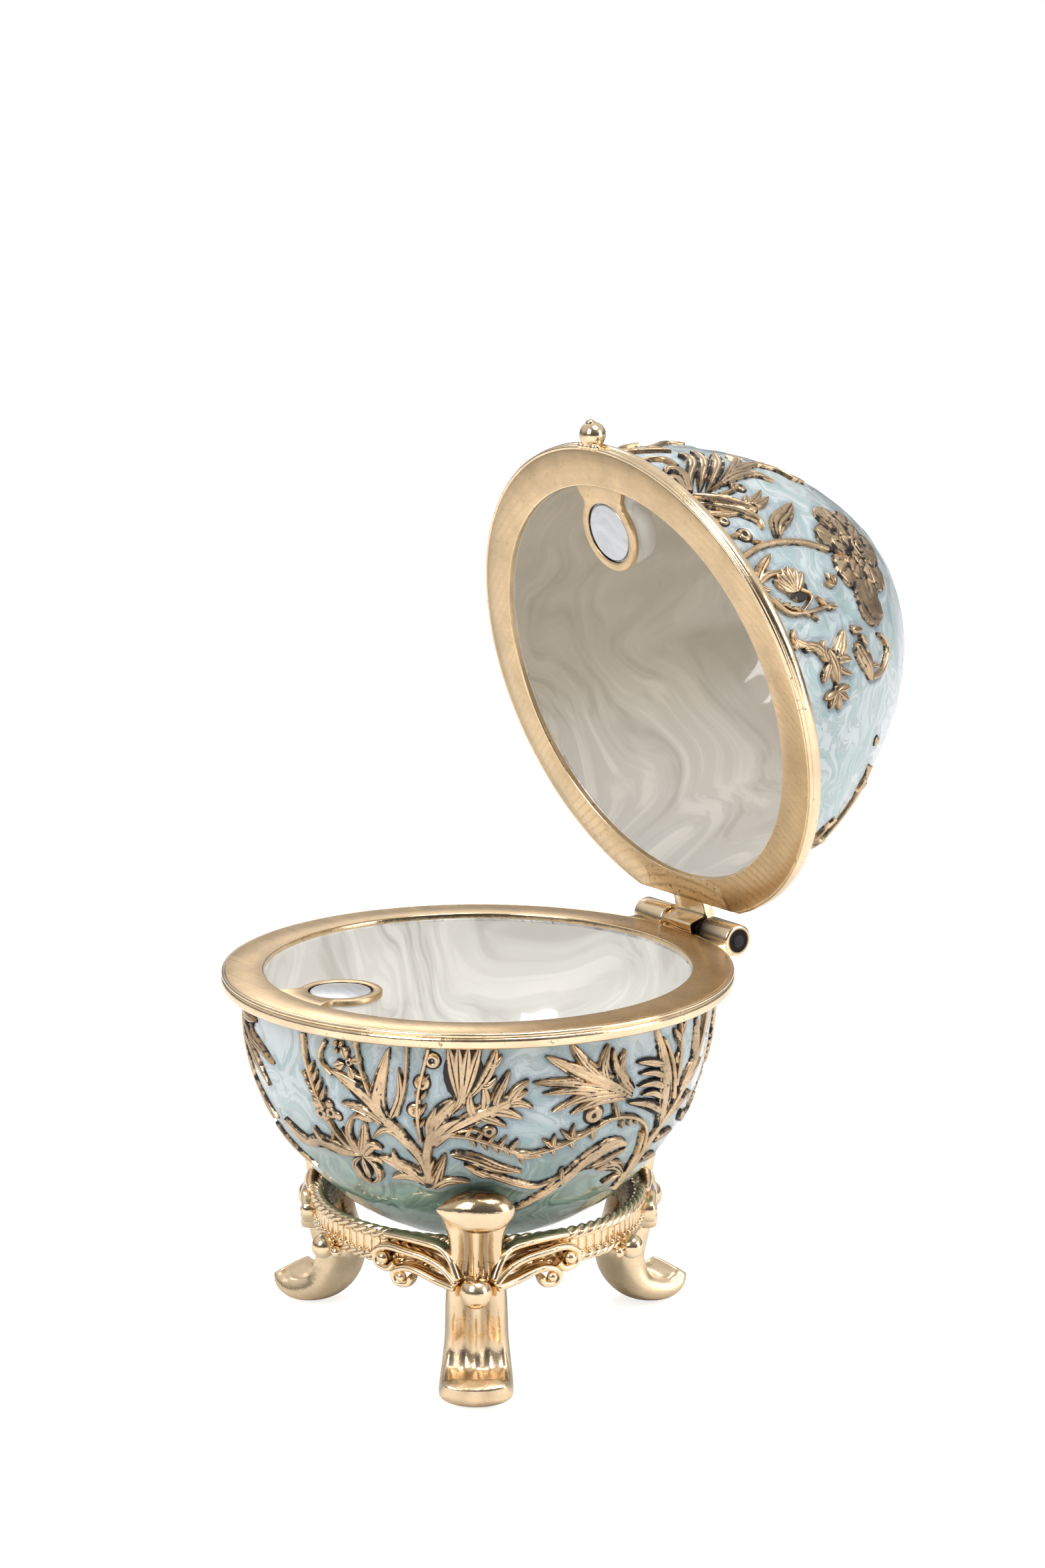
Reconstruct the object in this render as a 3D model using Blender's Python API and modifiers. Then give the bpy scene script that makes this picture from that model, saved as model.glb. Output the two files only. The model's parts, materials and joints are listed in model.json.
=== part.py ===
"""Enamelled egg trinket box: a bowl and a hinged lid on a footed stand.

Metres, +Z up.  The floor is z = 0.  X runs along the hinge, -Y is the clasp side.
The lid is modelled closed about its hinge and then swung open to its stop.
"""
import math

import bmesh
import bpy
from mathutils import Matrix, Vector

MM = 0.001

# Egg
RIM_RADIUS = 22.0 * MM          # outside of both rims
RIM_BORE = 18.34 * MM           # inside of both rims
RIM_HEIGHT = 1.4 * MM
RIM_LEVEL = 33.0 * MM           # the bowl's rim face above the floor
RIM_GAP = 0.4 * MM              # between the rim faces when the lid is shut
BOWL_RADIUS = 20.1 * MM
BOWL_DEPTH = 21.9 * MM          # below the rim band
BOWL_FULLNESS = 2.09            # exponent of the superellipse
BOWL_FLOOR = 2.6 * MM           # the bowl is thick at the bottom, so the open box stands
LID_RADIUS = 20.4 * MM
LID_RISE = 25.2 * MM            # above the rim band
LID_FULLNESS = 1.73
LID_CROWN = 1.2 * MM            # the lid is thin at its pole
LID_HOLLOW_FULLNESS = 1.87
TURN_STEPS = 32                 # sides of a turned wall

# Hinge and catch
HINGE_Y = 23.2 * MM             # from the egg's axis to the pin
LID_OPENING = math.radians(74.5)
KNUCKLE_RADIUS = 1.45 * MM
LID_KNUCKLE = (-2.2 * MM, 2.0 * MM)
BOWL_KNUCKLES = ((-6.5 * MM, -2.5 * MM), (2.9 * MM, 6.8 * MM))
PIN_RADIUS = 0.6 * MM
FIT = 0.25 * MM                 # clearance around pin and magnets
MAGNET_RADIUS = 2.55 * MM
MAGNET_THICK = 1.8 * MM
MAGNET_Y = -14.05 * MM
BOSS_RADIUS = 3.55 * MM
BOSS_DEPTH = 3.2 * MM
CATCH_RADIUS = 1.15 * MM

# Relief
ROOT = -0.5 * MM                # how deep an ornament is rooted in the wall
CREST = 0.42 * MM               # height of an ornament's middle above the enamel
EDGE = 0.24 * MM
STEM_LIFT = 0.33 * MM

# Stand
RING_RADIUS = 14.0 * MM         # middle of the upper rope
RING_TOP = -19.6 * MM           # below the rim face, as are the heights of the legs
RING_DEEP = 3.3 * MM
RING_STEPS = 48
LEG_ANGLES = (-36.0, 84.0, 204.0)

# The open lid reaches further back than the rim does forwards, and the origin is the
# middle of the floor that the whole box covers.
LID_BACK_REACH = 43.3 * MM
AXIS_Y = (RIM_RADIUS - LID_BACK_REACH) / 2


# ---------------------------------------------------------------- helpers

def material(name, colour, metallic, roughness):
    mat = bpy.data.materials.new(name)
    mat.use_nodes = True
    shader = mat.node_tree.nodes["Principled BSDF"]
    shader.inputs["Base Color"].default_value = (*colour, 1.0)
    shader.inputs["Metallic"].default_value = metallic
    shader.inputs["Roughness"].default_value = roughness
    return mat


def collection(name):
    group = bpy.data.collections.new(name)
    bpy.context.scene.collection.children.link(group)
    return group


def add_object(name, bm, group, parent=None, mat=None):
    mesh = bpy.data.meshes.new(name)
    bm.to_mesh(mesh)
    bm.free()
    mesh.shade_smooth()
    mesh.set_sharp_from_angle(angle=math.radians(35))
    obj = bpy.data.objects.new(name, mesh)
    group.objects.link(obj)
    obj.parent = parent
    if mat:
        mesh.materials.append(mat)
    return obj


def as_tool(obj):
    """A cutter or a joined-on shape: it is used by a Boolean and isn't a part itself."""
    obj.hide_render = True
    obj.display_type = "WIRE"
    return obj


def boolean(obj, operation, tool, own_overlaps=False):
    modifier = obj.modifiers.new(f"{operation.title()} {tool.name}", "BOOLEAN")
    modifier.operation = operation
    modifier.object = tool
    modifier.use_self = own_overlaps


def turned(name, outline, group, parent, mat):
    """A closed (radius, height) outline turned about the egg's axis."""
    bm = bmesh.new()
    verts = [bm.verts.new((radius, 0.0, height)) for radius, height in outline]
    for first, second in zip(verts, verts[1:]):
        bm.edges.new((first, second))
    obj = add_object(name, bm, group, parent, mat)
    screw = obj.modifiers.new("Turn", "SCREW")
    screw.steps = screw.render_steps = TURN_STEPS
    screw.use_merge_vertices = True
    screw.merge_threshold = 0.00001
    return obj


def cylinder(bm, radius, start, end, sides=24):
    """A cylinder between two points, added to bm."""
    start, end = Vector(start), Vector(end)
    along = end - start
    turn = along.to_track_quat("Z", "Y").to_matrix().to_4x4()
    place = Matrix.Translation((start + end) / 2) @ turn
    bmesh.ops.create_cone(bm, cap_ends=True, segments=sides, radius1=radius, radius2=radius,
                          depth=along.length, matrix=place)


def box(bm, low, high):
    low, high = Vector(low), Vector(high)
    size = Matrix.Diagonal((*(high - low), 1.0))
    bmesh.ops.create_cube(bm, size=1.0, matrix=Matrix.Translation((low + high) / 2) @ size)


def ball(bm, centre, radius, squash=(1.0, 1.0, 1.0), sides=10):
    place = Matrix.Translation(centre) @ Matrix.Diagonal((*squash, 1.0))
    bmesh.ops.create_uvsphere(bm, u_segments=sides, v_segments=sides // 2 + 1,
                              radius=radius, matrix=place)


# ---------------------------------------------------------------- the egg's wall

class Wall:
    """Half an egg: a superellipse from the rim band to the pole, on one side of the rim."""

    def __init__(self, radius, depth, fullness, start, side, steps=8):
        self.radius, self.depth, self.fullness = radius, depth, fullness
        self.start, self.side = start, side
        self.points = [self.point(step / steps * math.pi / 2) for step in range(steps + 1)]
        fine = [self.point(step / 400 * math.pi / 2) for step in range(401)]
        self.path = [(0.0, *fine[0])]
        for (r0, z0), (r1, z1) in zip(fine, fine[1:]):
            self.path.append((self.path[-1][0] + math.hypot(r1 - r0, z1 - z0), r1, z1))

    def point(self, angle):
        power = 2 / self.fullness
        radius = self.radius * max(math.cos(angle), 0.0) ** power
        drop = self.depth * math.sin(angle) ** power
        return radius, self.start + self.side * drop

    def section(self, arc):
        """Radius, height and outward slope at a distance from the rim along the wall."""
        index = next((i for i, row in enumerate(self.path) if row[0] >= arc), 400)
        index = max(1, index)
        (a0, r0, z0), (a1, r1, z1) = self.path[index - 1], self.path[index]
        part = (arc - a0) / (a1 - a0)
        length = math.hypot(r1 - r0, z1 - z0)
        normal = Vector((abs(z1 - z0), (r0 - r1) * self.side)) / length
        return r0 + (r1 - r0) * part, z0 + (z1 - z0) * part, normal

    def place(self, longitude, arc, lift):
        """The point over the wall at a longitude in degrees and an arc and lift in metres."""
        radius, height, normal = self.section(arc)
        radius += normal.x * lift
        turn = math.radians(longitude)
        return Vector((radius * math.cos(turn), radius * math.sin(turn), height + normal.y * lift))


def rim_outline(side, level):
    """The rim band's outside from its face to the wall: a bevelled edge and a rounded foot."""
    bevel = 0.25 * MM
    foot = 0.5 * MM
    points = [(RIM_BORE, level), (RIM_RADIUS - bevel, level), (RIM_RADIUS, level + side * bevel)]
    centre = (RIM_RADIUS - foot, level + side * (RIM_HEIGHT - foot))
    for step in range(3):
        angle = math.radians(45 * step)
        points.append((centre[0] + foot * math.cos(angle), centre[1] + side * foot * math.sin(angle)))
    return points


def egg_half(name, wall, hollow, side, level, group, parent, mat):
    """A hollow half with its rim; the outline runs from the inner pole to the outer one."""
    inner = list(reversed(hollow.points))
    inner[0] = (0.0, inner[0][1])
    outer = wall.points[1:]
    outer[-1] = (0.0, outer[-1][1])
    outline = inner + rim_outline(side, level) + outer
    if side > 0:
        outline.reverse()
    return turned(name, outline, group, parent, mat)


# ---------------------------------------------------------------- relief

class Relief:
    """Raised ornaments on a wall, each a closed shape rooted below the surface.

    A place on the wall is a longitude in degrees and an arc from the rim in millimetres.
    A heading of 0 runs away from the rim, and 90 towards greater longitudes.
    """

    def __init__(self, wall):
        self.wall = wall
        self.bm = bmesh.new()
        self.turn = 0.0

    def shift(self, longitude, arc, right, away):
        radius = self.wall.section(max(arc, 0.0) * MM)[0] / MM
        return longitude + math.degrees(right / max(radius, 2.0)), arc + away

    def plate(self, rows, shape, columns=2):
        """A grid warped by shape(along, side) -> (longitude, arc, lift) and given a root."""
        grid = bmesh.ops.create_grid(self.bm, x_segments=columns, y_segments=rows, size=1.0)
        low = grid["verts"]
        faces = list({face for vert in low for face in vert.link_faces})
        made = bmesh.ops.extrude_face_region(self.bm, geom=faces, use_keep_orig=True)["geom"]
        high = [item for item in made if isinstance(item, bmesh.types.BMVert)]
        for verts, root in ((low, True), (high, False)):
            for vert in verts:
                longitude, arc, lift = shape((vert.co.y + 1) / 2, vert.co.x)
                arc = max(arc, -0.2) * MM
                vert.co = self.wall.place(longitude + self.turn, max(arc, 0.0), ROOT if root else lift)
        shell = {face for vert in low + high for face in vert.link_faces}
        bmesh.ops.recalc_face_normals(self.bm, faces=list(shell))

    def leaf(self, longitude, arc, heading, length, width, teeth=0, bend=0.0, rows=6):
        """A leaf with a raised midrib; teeth notch its two edges."""
        def shape(along, side):
            facing = math.radians(heading + bend * along / 2)
            across = math.radians(heading + bend * along + 90)
            half = width / 2 * (0.06 + math.sin(math.pi * along ** 0.8) ** 0.7)
            if teeth:
                half *= 1 - 0.4 * (along * teeth % 1.0) * (1 - along)
            right = length * along * math.sin(facing) + side * half * math.sin(across)
            away = length * along * math.cos(facing) + side * half * math.cos(across)
            lift = CREST if side == 0 else EDGE
            return (*self.shift(longitude, arc, right, away), lift)
        self.plate(rows, shape)

    def stem(self, places, width, rows=8):
        """A tapering stem through a few places."""
        def spot(along):
            index, part = divmod(along * (len(places) - 1), 1.0)
            index = int(index)
            if index >= len(places) - 1:
                index, part = len(places) - 2, 1.0
            around = [places[min(max(index + step, 0), len(places) - 1)] for step in (-1, 0, 1, 2)]
            mix = []
            for p0, p1, p2, p3 in zip(*around):
                mix.append(0.5 * (2 * p1 + (p2 - p0) * part
                                  + (2 * p0 - 5 * p1 + 4 * p2 - p3) * part ** 2
                                  + (3 * p1 - p0 - 3 * p2 + p3) * part ** 3))
            return mix

        def shape(along, side):
            before, after = spot(max(along - 0.02, 0.0)), spot(min(along + 0.02, 1.0))
            longitude, arc = spot(along)
            radius = self.wall.section(arc * MM)[0] / MM
            right = math.radians(after[0] - before[0]) * radius
            across = math.atan2(right, after[1] - before[1]) + math.pi / 2
            half = width / 2 * (1 - 0.45 * along)
            return (*self.shift(longitude, arc, side * half * math.sin(across),
                                side * half * math.cos(across)), STEM_LIFT)
        self.plate(rows, shape, columns=1)

    def bead(self, longitude, arc, radius, sides=6):
        centre = self.wall.place(longitude + self.turn, arc * MM, 0.0)
        normal = self.wall.place(longitude + self.turn, arc * MM, MM) - centre
        turn = normal.to_track_quat("Z", "Y").to_matrix().to_4x4()
        flat = Matrix.Diagonal((1.0, 1.0, 0.6 / radius, 1.0))
        bmesh.ops.create_uvsphere(self.bm, u_segments=sides, v_segments=3, radius=radius * MM,
                                  matrix=Matrix.Translation(centre) @ turn @ flat)

    def fan(self, longitude, arc, heading, length, width, blades, spread, rows=4):
        """Leaves spread from one place, as a palmette or a cup of petals."""
        for blade in range(blades):
            swing = spread * (blade / (blades - 1) - 0.5)
            self.leaf(longitude, arc, heading + swing, length, width, rows=rows)

    def rosette(self, longitude, arc, radius, petals):
        """A flower seen from the front: petals around a bead."""
        for petal in range(petals):
            self.leaf(longitude, arc, 360 * petal / petals, radius, radius * 0.7, rows=3)
        self.bead(longitude, arc, radius * 0.4)


def thistle_spray(relief, full):
    """The tall spray: a trunk with a cup at the rim, acanthus leaves and berries."""
    relief.stem([(-48, 13.6), (-45, 9.6), (-41.5, 6.4), (-38.5, 4.2)], 1.2, rows=4)
    relief.fan(-38.2, 4.8, 180, 4.0, 1.9, 3, 62)
    relief.stem([(-48, 13.2), (-50.2, 9.4), (-55, 6.4), (-60, 4.8)], 1.3, rows=4)
    relief.leaf(-56.5, 5.8, -122, 6.0, 2.8, teeth=3)
    relief.leaf(-54.5, 6.4, -172, 5.3, 2.0, rows=4)
    relief.leaf(-41.5, 7.4, 118, 5.9, 3.0, teeth=3)
    relief.leaf(-46, 13.0, 96, 7.0, 1.8, bend=-20, rows=4)
    if full:
        relief.leaf(-48, 13.4, -112, 3.0, 2.0, rows=4)
        relief.bead(-48.1, 3.5, 0.75)
        relief.bead(-50.0, 6.0, 0.75)


def tendril(relief):
    """A thin trailing stem that ends in a bud."""
    relief.stem([(-44.5, 10.4), (-34, 9.2), (-23, 10.2), (-13, 10.0), (-7, 8.0)], 0.6, rows=7)
    relief.leaf(-8.5, 8.4, 155, 2.6, 2.0, rows=4)


def sword_leaf(relief):
    relief.leaf(-29, 18.8, 118, 13.2, 2.1, bend=-18, rows=6)


def branch_spray(relief):
    """The spreading spray: a leaning trunk with lobed leaves on its left."""
    relief.stem([(16, 17.6), (19.5, 12), (22, 7.6), (33, 3.4)], 1.3, rows=5)
    relief.stem([(19.5, 11.5), (12.5, 7.0), (5, 5.6)], 0.9, rows=3)
    relief.leaf(6, 5.8, -106, 8.0, 2.2, teeth=3)
    relief.leaf(4.5, 5.4, -148, 5.8, 1.8, rows=4)
    relief.leaf(5.5, 6.2, -74, 6.4, 1.6, rows=4)
    relief.leaf(19, 9.6, -176, 6.0, 2.4, rows=4)
    relief.leaf(31, 4.6, 110, 5.0, 2.0, rows=4)


def trailing_sprig(relief):
    relief.stem([(-79, 1.2), (-77.6, 4.4), (-75, 7.6), (-64.5, 9.8)], 0.7, rows=5)
    relief.leaf(-66, 10.0, -92, 6.2, 2.1, teeth=3)
    relief.leaf(-65, 10.0, 118, 3.2, 1.5, rows=4)
    relief.bead(-65.6, 12.6, 1.15)


def dress_bowl(relief):
    thistle_spray(relief, full=True)
    tendril(relief)
    sword_leaf(relief)
    branch_spray(relief)
    trailing_sprig(relief)
    relief.turn = 166.0
    thistle_spray(relief, full=False)
    relief.turn = 0.0


def rose_branch(relief, full):
    """A rose on a curved stem with an oval leaf, and a tulip beside it."""
    relief.stem([(-42, 0.8), (-41.5, 4.6), (-39.5, 7.6), (-35, 10.0)], 0.7, rows=5)
    relief.leaf(-42.3, 5.2, -38, 4.4, 1.9, rows=4)
    relief.rosette(-29, 13.6, 4.3, 7)
    if full:
        relief.fan(-29.5, 2.2, 0, 3.2, 1.5, 3, 80)
        relief.bead(-45.7, 1.9, 0.7)


def palmette(relief):
    """Feathered leaves that fan out from the rim, with a pod beside them."""
    for swing, length in ((-72, 7.0), (-44, 8.2), (-14, 8.6), (14, 6.2)):
        relief.leaf(-61, 1.0, swing, length, 2.5, teeth=3)
    relief.leaf(-58.5, 0.9, 66, 5.4, 1.3, rows=4)


def iris(relief):
    """A flag iris with a pod on a tendril above it."""
    relief.fan(-9, 3.2, 0, 3.2, 1.6, 3, 90)
    relief.fan(-9, 4.0, 180, 2.6, 1.4, 2, 80)
    relief.leaf(-5, 7.4, -12, 3.8, 2.2, bend=30, rows=4)
    relief.stem([(-3, 11), (1, 11.4), (3.6, 9), (1.5, 7)], 0.5, rows=5)


def tendril_loop(relief):
    relief.stem([(33, 8.2), (40, 6.0), (46, 3.6), (41, 1.6)], 0.7, rows=6)


def dress_lid(relief):
    rose_branch(relief, full=True)
    palmette(relief)
    iris(relief)
    tendril_loop(relief)
    relief.turn = 166.0
    rose_branch(relief, full=False)
    palmette(relief)
    relief.turn = 0.0


# ---------------------------------------------------------------- bowl and lid

def magnet_boss(side, level):
    """The tab and cup on a rim that hold a magnet, a hair below the rim's face."""
    bm = bmesh.new()
    level += side * 0.06 * MM
    end = level + side * BOSS_DEPTH
    cylinder(bm, BOSS_RADIUS, (0, MAGNET_Y, level), (0, MAGNET_Y, end), sides=20)
    neck = 2.7 * MM
    under = end - side * 0.1 * MM
    box(bm, (-neck, -RIM_BORE - 0.8 * MM, min(level, under)),
        (neck, MAGNET_Y, max(level, under)))
    return bm


def magnet_pocket(side, level):
    bm = bmesh.new()
    deep = level + side * (MAGNET_THICK + 2 * FIT)
    cylinder(bm, MAGNET_RADIUS + FIT, (0, MAGNET_Y, level - side * MM), (0, MAGNET_Y, deep))
    return bm


def magnet(name, side, level, group, parent, mat):
    bm = bmesh.new()
    face = level + side * FIT
    cylinder(bm, MAGNET_RADIUS, (0, MAGNET_Y, face), (0, MAGNET_Y, face + side * MAGNET_THICK))
    return add_object(name, bm, group, parent, mat)


def pin_bore():
    bm = bmesh.new()
    reach = 8 * MM
    cylinder(bm, PIN_RADIUS + FIT, (-reach, HINGE_Y, 0), (reach, HINGE_Y, 0), sides=12)
    return bm


def make_bowl(group, tools, axis, mat):
    wall = Wall(BOWL_RADIUS, BOWL_DEPTH, BOWL_FULLNESS, -RIM_HEIGHT, -1)
    hollow = Wall(RIM_BORE, BOWL_DEPTH - BOWL_FLOOR, BOWL_FULLNESS, -RIM_HEIGHT, -1, steps=6)
    bowl = egg_half("bowl", wall, hollow, -1, 0.0, group, axis, mat)

    boolean(bowl, "UNION", as_tool(add_object("bowl_boss", magnet_boss(-1, 0.0), tools, axis)),
            own_overlaps=True)
    boolean(bowl, "DIFFERENCE",
            as_tool(add_object("bowl_magnet_pocket", magnet_pocket(-1, 0.0), tools, axis)))

    # The rim is cut back behind the lid's knuckle, which turns in the notch.
    notch = bmesh.new()
    side_gap = 0.3 * MM
    box(notch, (LID_KNUCKLE[0] - side_gap, 21.0 * MM, -3 * MM),
        (LID_KNUCKLE[1] + side_gap, 25 * MM, 3 * MM))
    boolean(bowl, "DIFFERENCE", as_tool(add_object("hinge_notch", notch, tools, axis)))
    knuckles = bmesh.new()
    for start, end in BOWL_KNUCKLES:
        cylinder(knuckles, KNUCKLE_RADIUS, (start, HINGE_Y, 0), (end, HINGE_Y, 0), sides=12)
        box(knuckles, (start, 20.6 * MM, -RIM_HEIGHT + 0.05 * MM), (end, HINGE_Y, -0.1 * MM))
    boolean(bowl, "UNION", as_tool(add_object("bowl_knuckles", knuckles, tools, axis)),
            own_overlaps=True)
    boolean(bowl, "DIFFERENCE", as_tool(add_object("bowl_pin_bore", pin_bore(), tools, axis)))

    relief = Relief(wall)
    dress_bowl(relief)
    ornaments = as_tool(add_object("bowl_relief", relief.bm, tools, axis))
    boolean(bowl, "UNION", ornaments, own_overlaps=True)
    return bowl


def make_lid(group, tools, hinge, mat):
    level = RIM_GAP
    wall = Wall(LID_RADIUS, LID_RISE, LID_FULLNESS, level + RIM_HEIGHT, 1)
    hollow = Wall(RIM_BORE, LID_RISE - LID_CROWN, LID_HOLLOW_FULLNESS, level + RIM_HEIGHT, 1,
                  steps=6)
    lid = egg_half("lid", wall, hollow, 1, level, group, hinge, mat)

    boolean(lid, "UNION", as_tool(add_object("lid_boss", magnet_boss(1, level), tools, hinge)),
            own_overlaps=True)
    boolean(lid, "DIFFERENCE",
            as_tool(add_object("lid_magnet_pocket", magnet_pocket(1, level), tools, hinge)))

    # A chord is cut off the rim above the hinge, and one squared knuckle hangs from it.
    chord = bmesh.new()
    box(chord, (-9 * MM, 20.7 * MM, -MM), (9 * MM, 25 * MM, 5 * MM))
    boolean(lid, "DIFFERENCE", as_tool(add_object("lid_chord", chord, tools, hinge)))
    knuckle = bmesh.new()
    start, end = LID_KNUCKLE
    cylinder(knuckle, KNUCKLE_RADIUS, (start, HINGE_Y, 0), (end, HINGE_Y, 0), sides=12)
    front = HINGE_Y - 1.25 * MM
    box(knuckle, (start, front, -KNUCKLE_RADIUS), (end, HINGE_Y, KNUCKLE_RADIUS))
    box(knuckle, (start, 20.2 * MM, level), (end, HINGE_Y, level + RIM_HEIGHT - 0.1 * MM))
    boolean(lid, "UNION", as_tool(add_object("lid_knuckle", knuckle, tools, hinge)),
            own_overlaps=True)
    boolean(lid, "DIFFERENCE", as_tool(add_object("lid_pin_bore", pin_bore(), tools, hinge)))

    catch = bmesh.new()
    middle = level + 0.8 * MM
    ball(catch, (0, -RIM_RADIUS - 0.8 * MM, middle), CATCH_RADIUS, sides=8)
    ball(catch, (0, -RIM_RADIUS - 1.85 * MM, middle), 0.45 * MM, sides=6)
    boolean(lid, "UNION", as_tool(add_object("lid_catch", catch, tools, hinge)),
            own_overlaps=True)

    relief = Relief(wall)
    dress_lid(relief)
    ornaments = as_tool(add_object("lid_relief", relief.bm, tools, hinge))
    boolean(lid, "UNION", ornaments, own_overlaps=True)
    return lid


def make_hinge_pin(group, axis, mat):
    bm = bmesh.new()
    cylinder(bm, PIN_RADIUS, (BOWL_KNUCKLES[0][0] - 0.1 * MM, HINGE_Y, 0),
             (BOWL_KNUCKLES[1][1] + 0.1 * MM, HINGE_Y, 0), sides=12)
    return add_object("hinge_pin", bm, group, axis, mat)


# ---------------------------------------------------------------- stand

def swept(bm, stations, section):
    """A closed form through stations; section(station) gives each one's ring of points."""
    ring = None
    for station in stations:
        points = section(station)
        if ring is None:
            made = bmesh.ops.create_circle(bm, cap_ends=False, segments=len(points), radius=MM)
            ring = made["verts"]
            edges = list({edge for vert in ring for edge in vert.link_edges})
            first = edges
        else:
            made = bmesh.ops.extrude_edge_only(bm, edges=edges)["geom"]
            ring = [item for item in made if isinstance(item, bmesh.types.BMVert)]
            edges = [item for item in made if isinstance(item, bmesh.types.BMEdge)
                     and all(vert in ring for vert in item.verts)]
            # keep the ring in the order of the one it was drawn from
            order = {vert: link.other_vert(vert) for vert in ring
                     for link in vert.link_edges if link.other_vert(vert) in last}
            ring.sort(key=lambda vert: last.index(order[vert]))
        for vert, point in zip(ring, points):
            vert.co = point
        last = ring
    for loop in (first, edges):
        bmesh.ops.contextual_create(bm, geom=loop)
    shell = list({face for edge in first for vert in edge.verts for face in vert.link_faces})
    reach = set(shell)
    while shell:
        shell = [other for face in shell for edge in face.edges for other in edge.link_faces
                 if other not in reach and not reach.add(other)]
    bmesh.ops.recalc_face_normals(bm, faces=list(reach))


def stand_ring():
    """The collar: an upper and a lower rope with a ribbed band between them."""
    rope = 0.55 * MM
    groove = 0.35 * MM
    half = RING_DEEP / 2
    outline = []
    for middle, start in ((half - rope, -60), (-half + rope, -90)):
        for step in range(3):
            angle = math.radians(start + 75 * (2 - step))
            outline.append((RING_RADIUS + rope * math.cos(angle), middle + rope * math.sin(angle)))
    inner = RING_RADIUS - 1.0 * MM
    outline += [(inner, -half + rope), (inner, half - rope)]
    bm = bmesh.new()
    height = RING_TOP - half
    verts = [bm.verts.new((radius, 0, height + z)) for radius, z in outline]
    edges = [bm.edges.new(pair) for pair in zip(verts, verts[1:] + verts[:1])]
    bmesh.ops.spin(bm, geom=verts + edges, cent=(0, 0, 0), axis=(0, 0, 1), angle=math.tau,
                   steps=RING_STEPS, use_merge=True)
    bmesh.ops.remove_doubles(bm, verts=bm.verts, dist=0.00001)
    bmesh.ops.recalc_face_normals(bm, faces=bm.faces)
    for vert in bm.verts:
        step = round(math.atan2(vert.co.y, vert.co.x) / math.tau * RING_STEPS)
        in_band = abs(vert.co.z - height) < half - rope and vert.co.xy.length > RING_RADIUS
        if in_band and step % 2:
            vert.co.xy *= 1 - groove / vert.co.xy.length
    return bm


# Stations of a leg from the neck to the toe: distance from the axis, height under the
# rim face, thickness across the path and width, in millimetres.
LEG_STATIONS = (
    (17.2, -16.3, 2.4, 5.2),
    (16.0, -18.6, 2.3, 4.3),
    (15.4, -21.0, 2.8, 4.8),
    (15.2, -23.6, 3.2, 5.1),
    (14.4, -26.2, 3.5, 5.0),
    (14.0, -28.4, 3.6, 5.2),
    (14.8, -30.6, 3.2, 5.6),
    (16.5, -31.9, 2.5, 5.9),
    (18.4, -32.1, 2.0, 6.0),
    (19.5, -31.1, 1.6, 5.7),
)
# Each scroll's reach along the collar in degrees, its height, and the radius and turn of
# the curl at its end.
SCROLLS = ((25.0, -20.1, 0.9, 40.0), (29.0, -20.9, 0.85, 185.0), (21.0, -22.2, 0.7, 160.0))


def leg_section(stations, index):
    """A rounded bar whose outer face is a shallow channel between two rolled edges."""
    radius, height, thick, wide = stations[index]
    before, after = stations[max(index - 1, 0)], stations[min(index + 1, len(stations) - 1)]
    along = Vector((after[0] - before[0], after[1] - before[1])).normalized()
    out = Vector((-along.y, along.x))
    shape = ((0.5, -0.1), (0.42, 0.45), (0.0, 0.3), (-0.42, 0.45),
             (-0.5, -0.1), (-0.3, -0.5), (0.3, -0.5))
    points = []
    for across, depth in shape:
        spot = Vector((radius, height)) + out * depth * thick
        spot.y = max(spot.y, -RIM_LEVEL / MM)
        points.append(Vector((spot.x, across * wide, spot.y)) * MM)
    return points


def scroll_path(side, reach, top, curl_radius, curl_turn):
    """Points of a ribbon from behind the leg's ball, along the collar and over its curl."""
    path = []
    start_height, run = -22.7, 4
    for step in range(run):
        along = step / (run - 1)
        angle = 5.0 + (reach - 5.0) * along
        height = start_height + (top - start_height) * math.sin(along * math.pi / 2)
        radius = 14.7 + 2.0 * (1 - along) ** 2
        path.append((side * angle, radius, height))
    turns = 3 if curl_turn > 90 else 1
    for step in range(1, turns + 1):
        turn = math.radians(curl_turn * step / turns)
        angle = reach + math.degrees(curl_radius * math.sin(turn) / 14.7)
        path.append((side * angle, 14.7, top - curl_radius * (1 - math.cos(turn))))
    return [Vector((radius * math.cos(math.radians(angle)),
                    radius * math.sin(math.radians(angle)), height)) * MM
            for angle, radius, height in path]


def scroll_section(path, index):
    """A flat ribbon's four corners, square to its path and edge-on to the collar."""
    before, after = path[max(index - 1, 0)], path[min(index + 1, len(path) - 1)]
    along = (after - before).normalized()
    outward = Vector((path[index].x, path[index].y, 0)).normalized()
    outward -= along * along.dot(outward)
    across = along.cross(outward.normalized())
    thick, deep = 0.3 * MM, 0.6 * MM
    return [path[index] + across * thick * rise + outward * deep * out
            for rise, out in ((1, 0), (0, 1), (-1, 0), (0, -1))]


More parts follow.
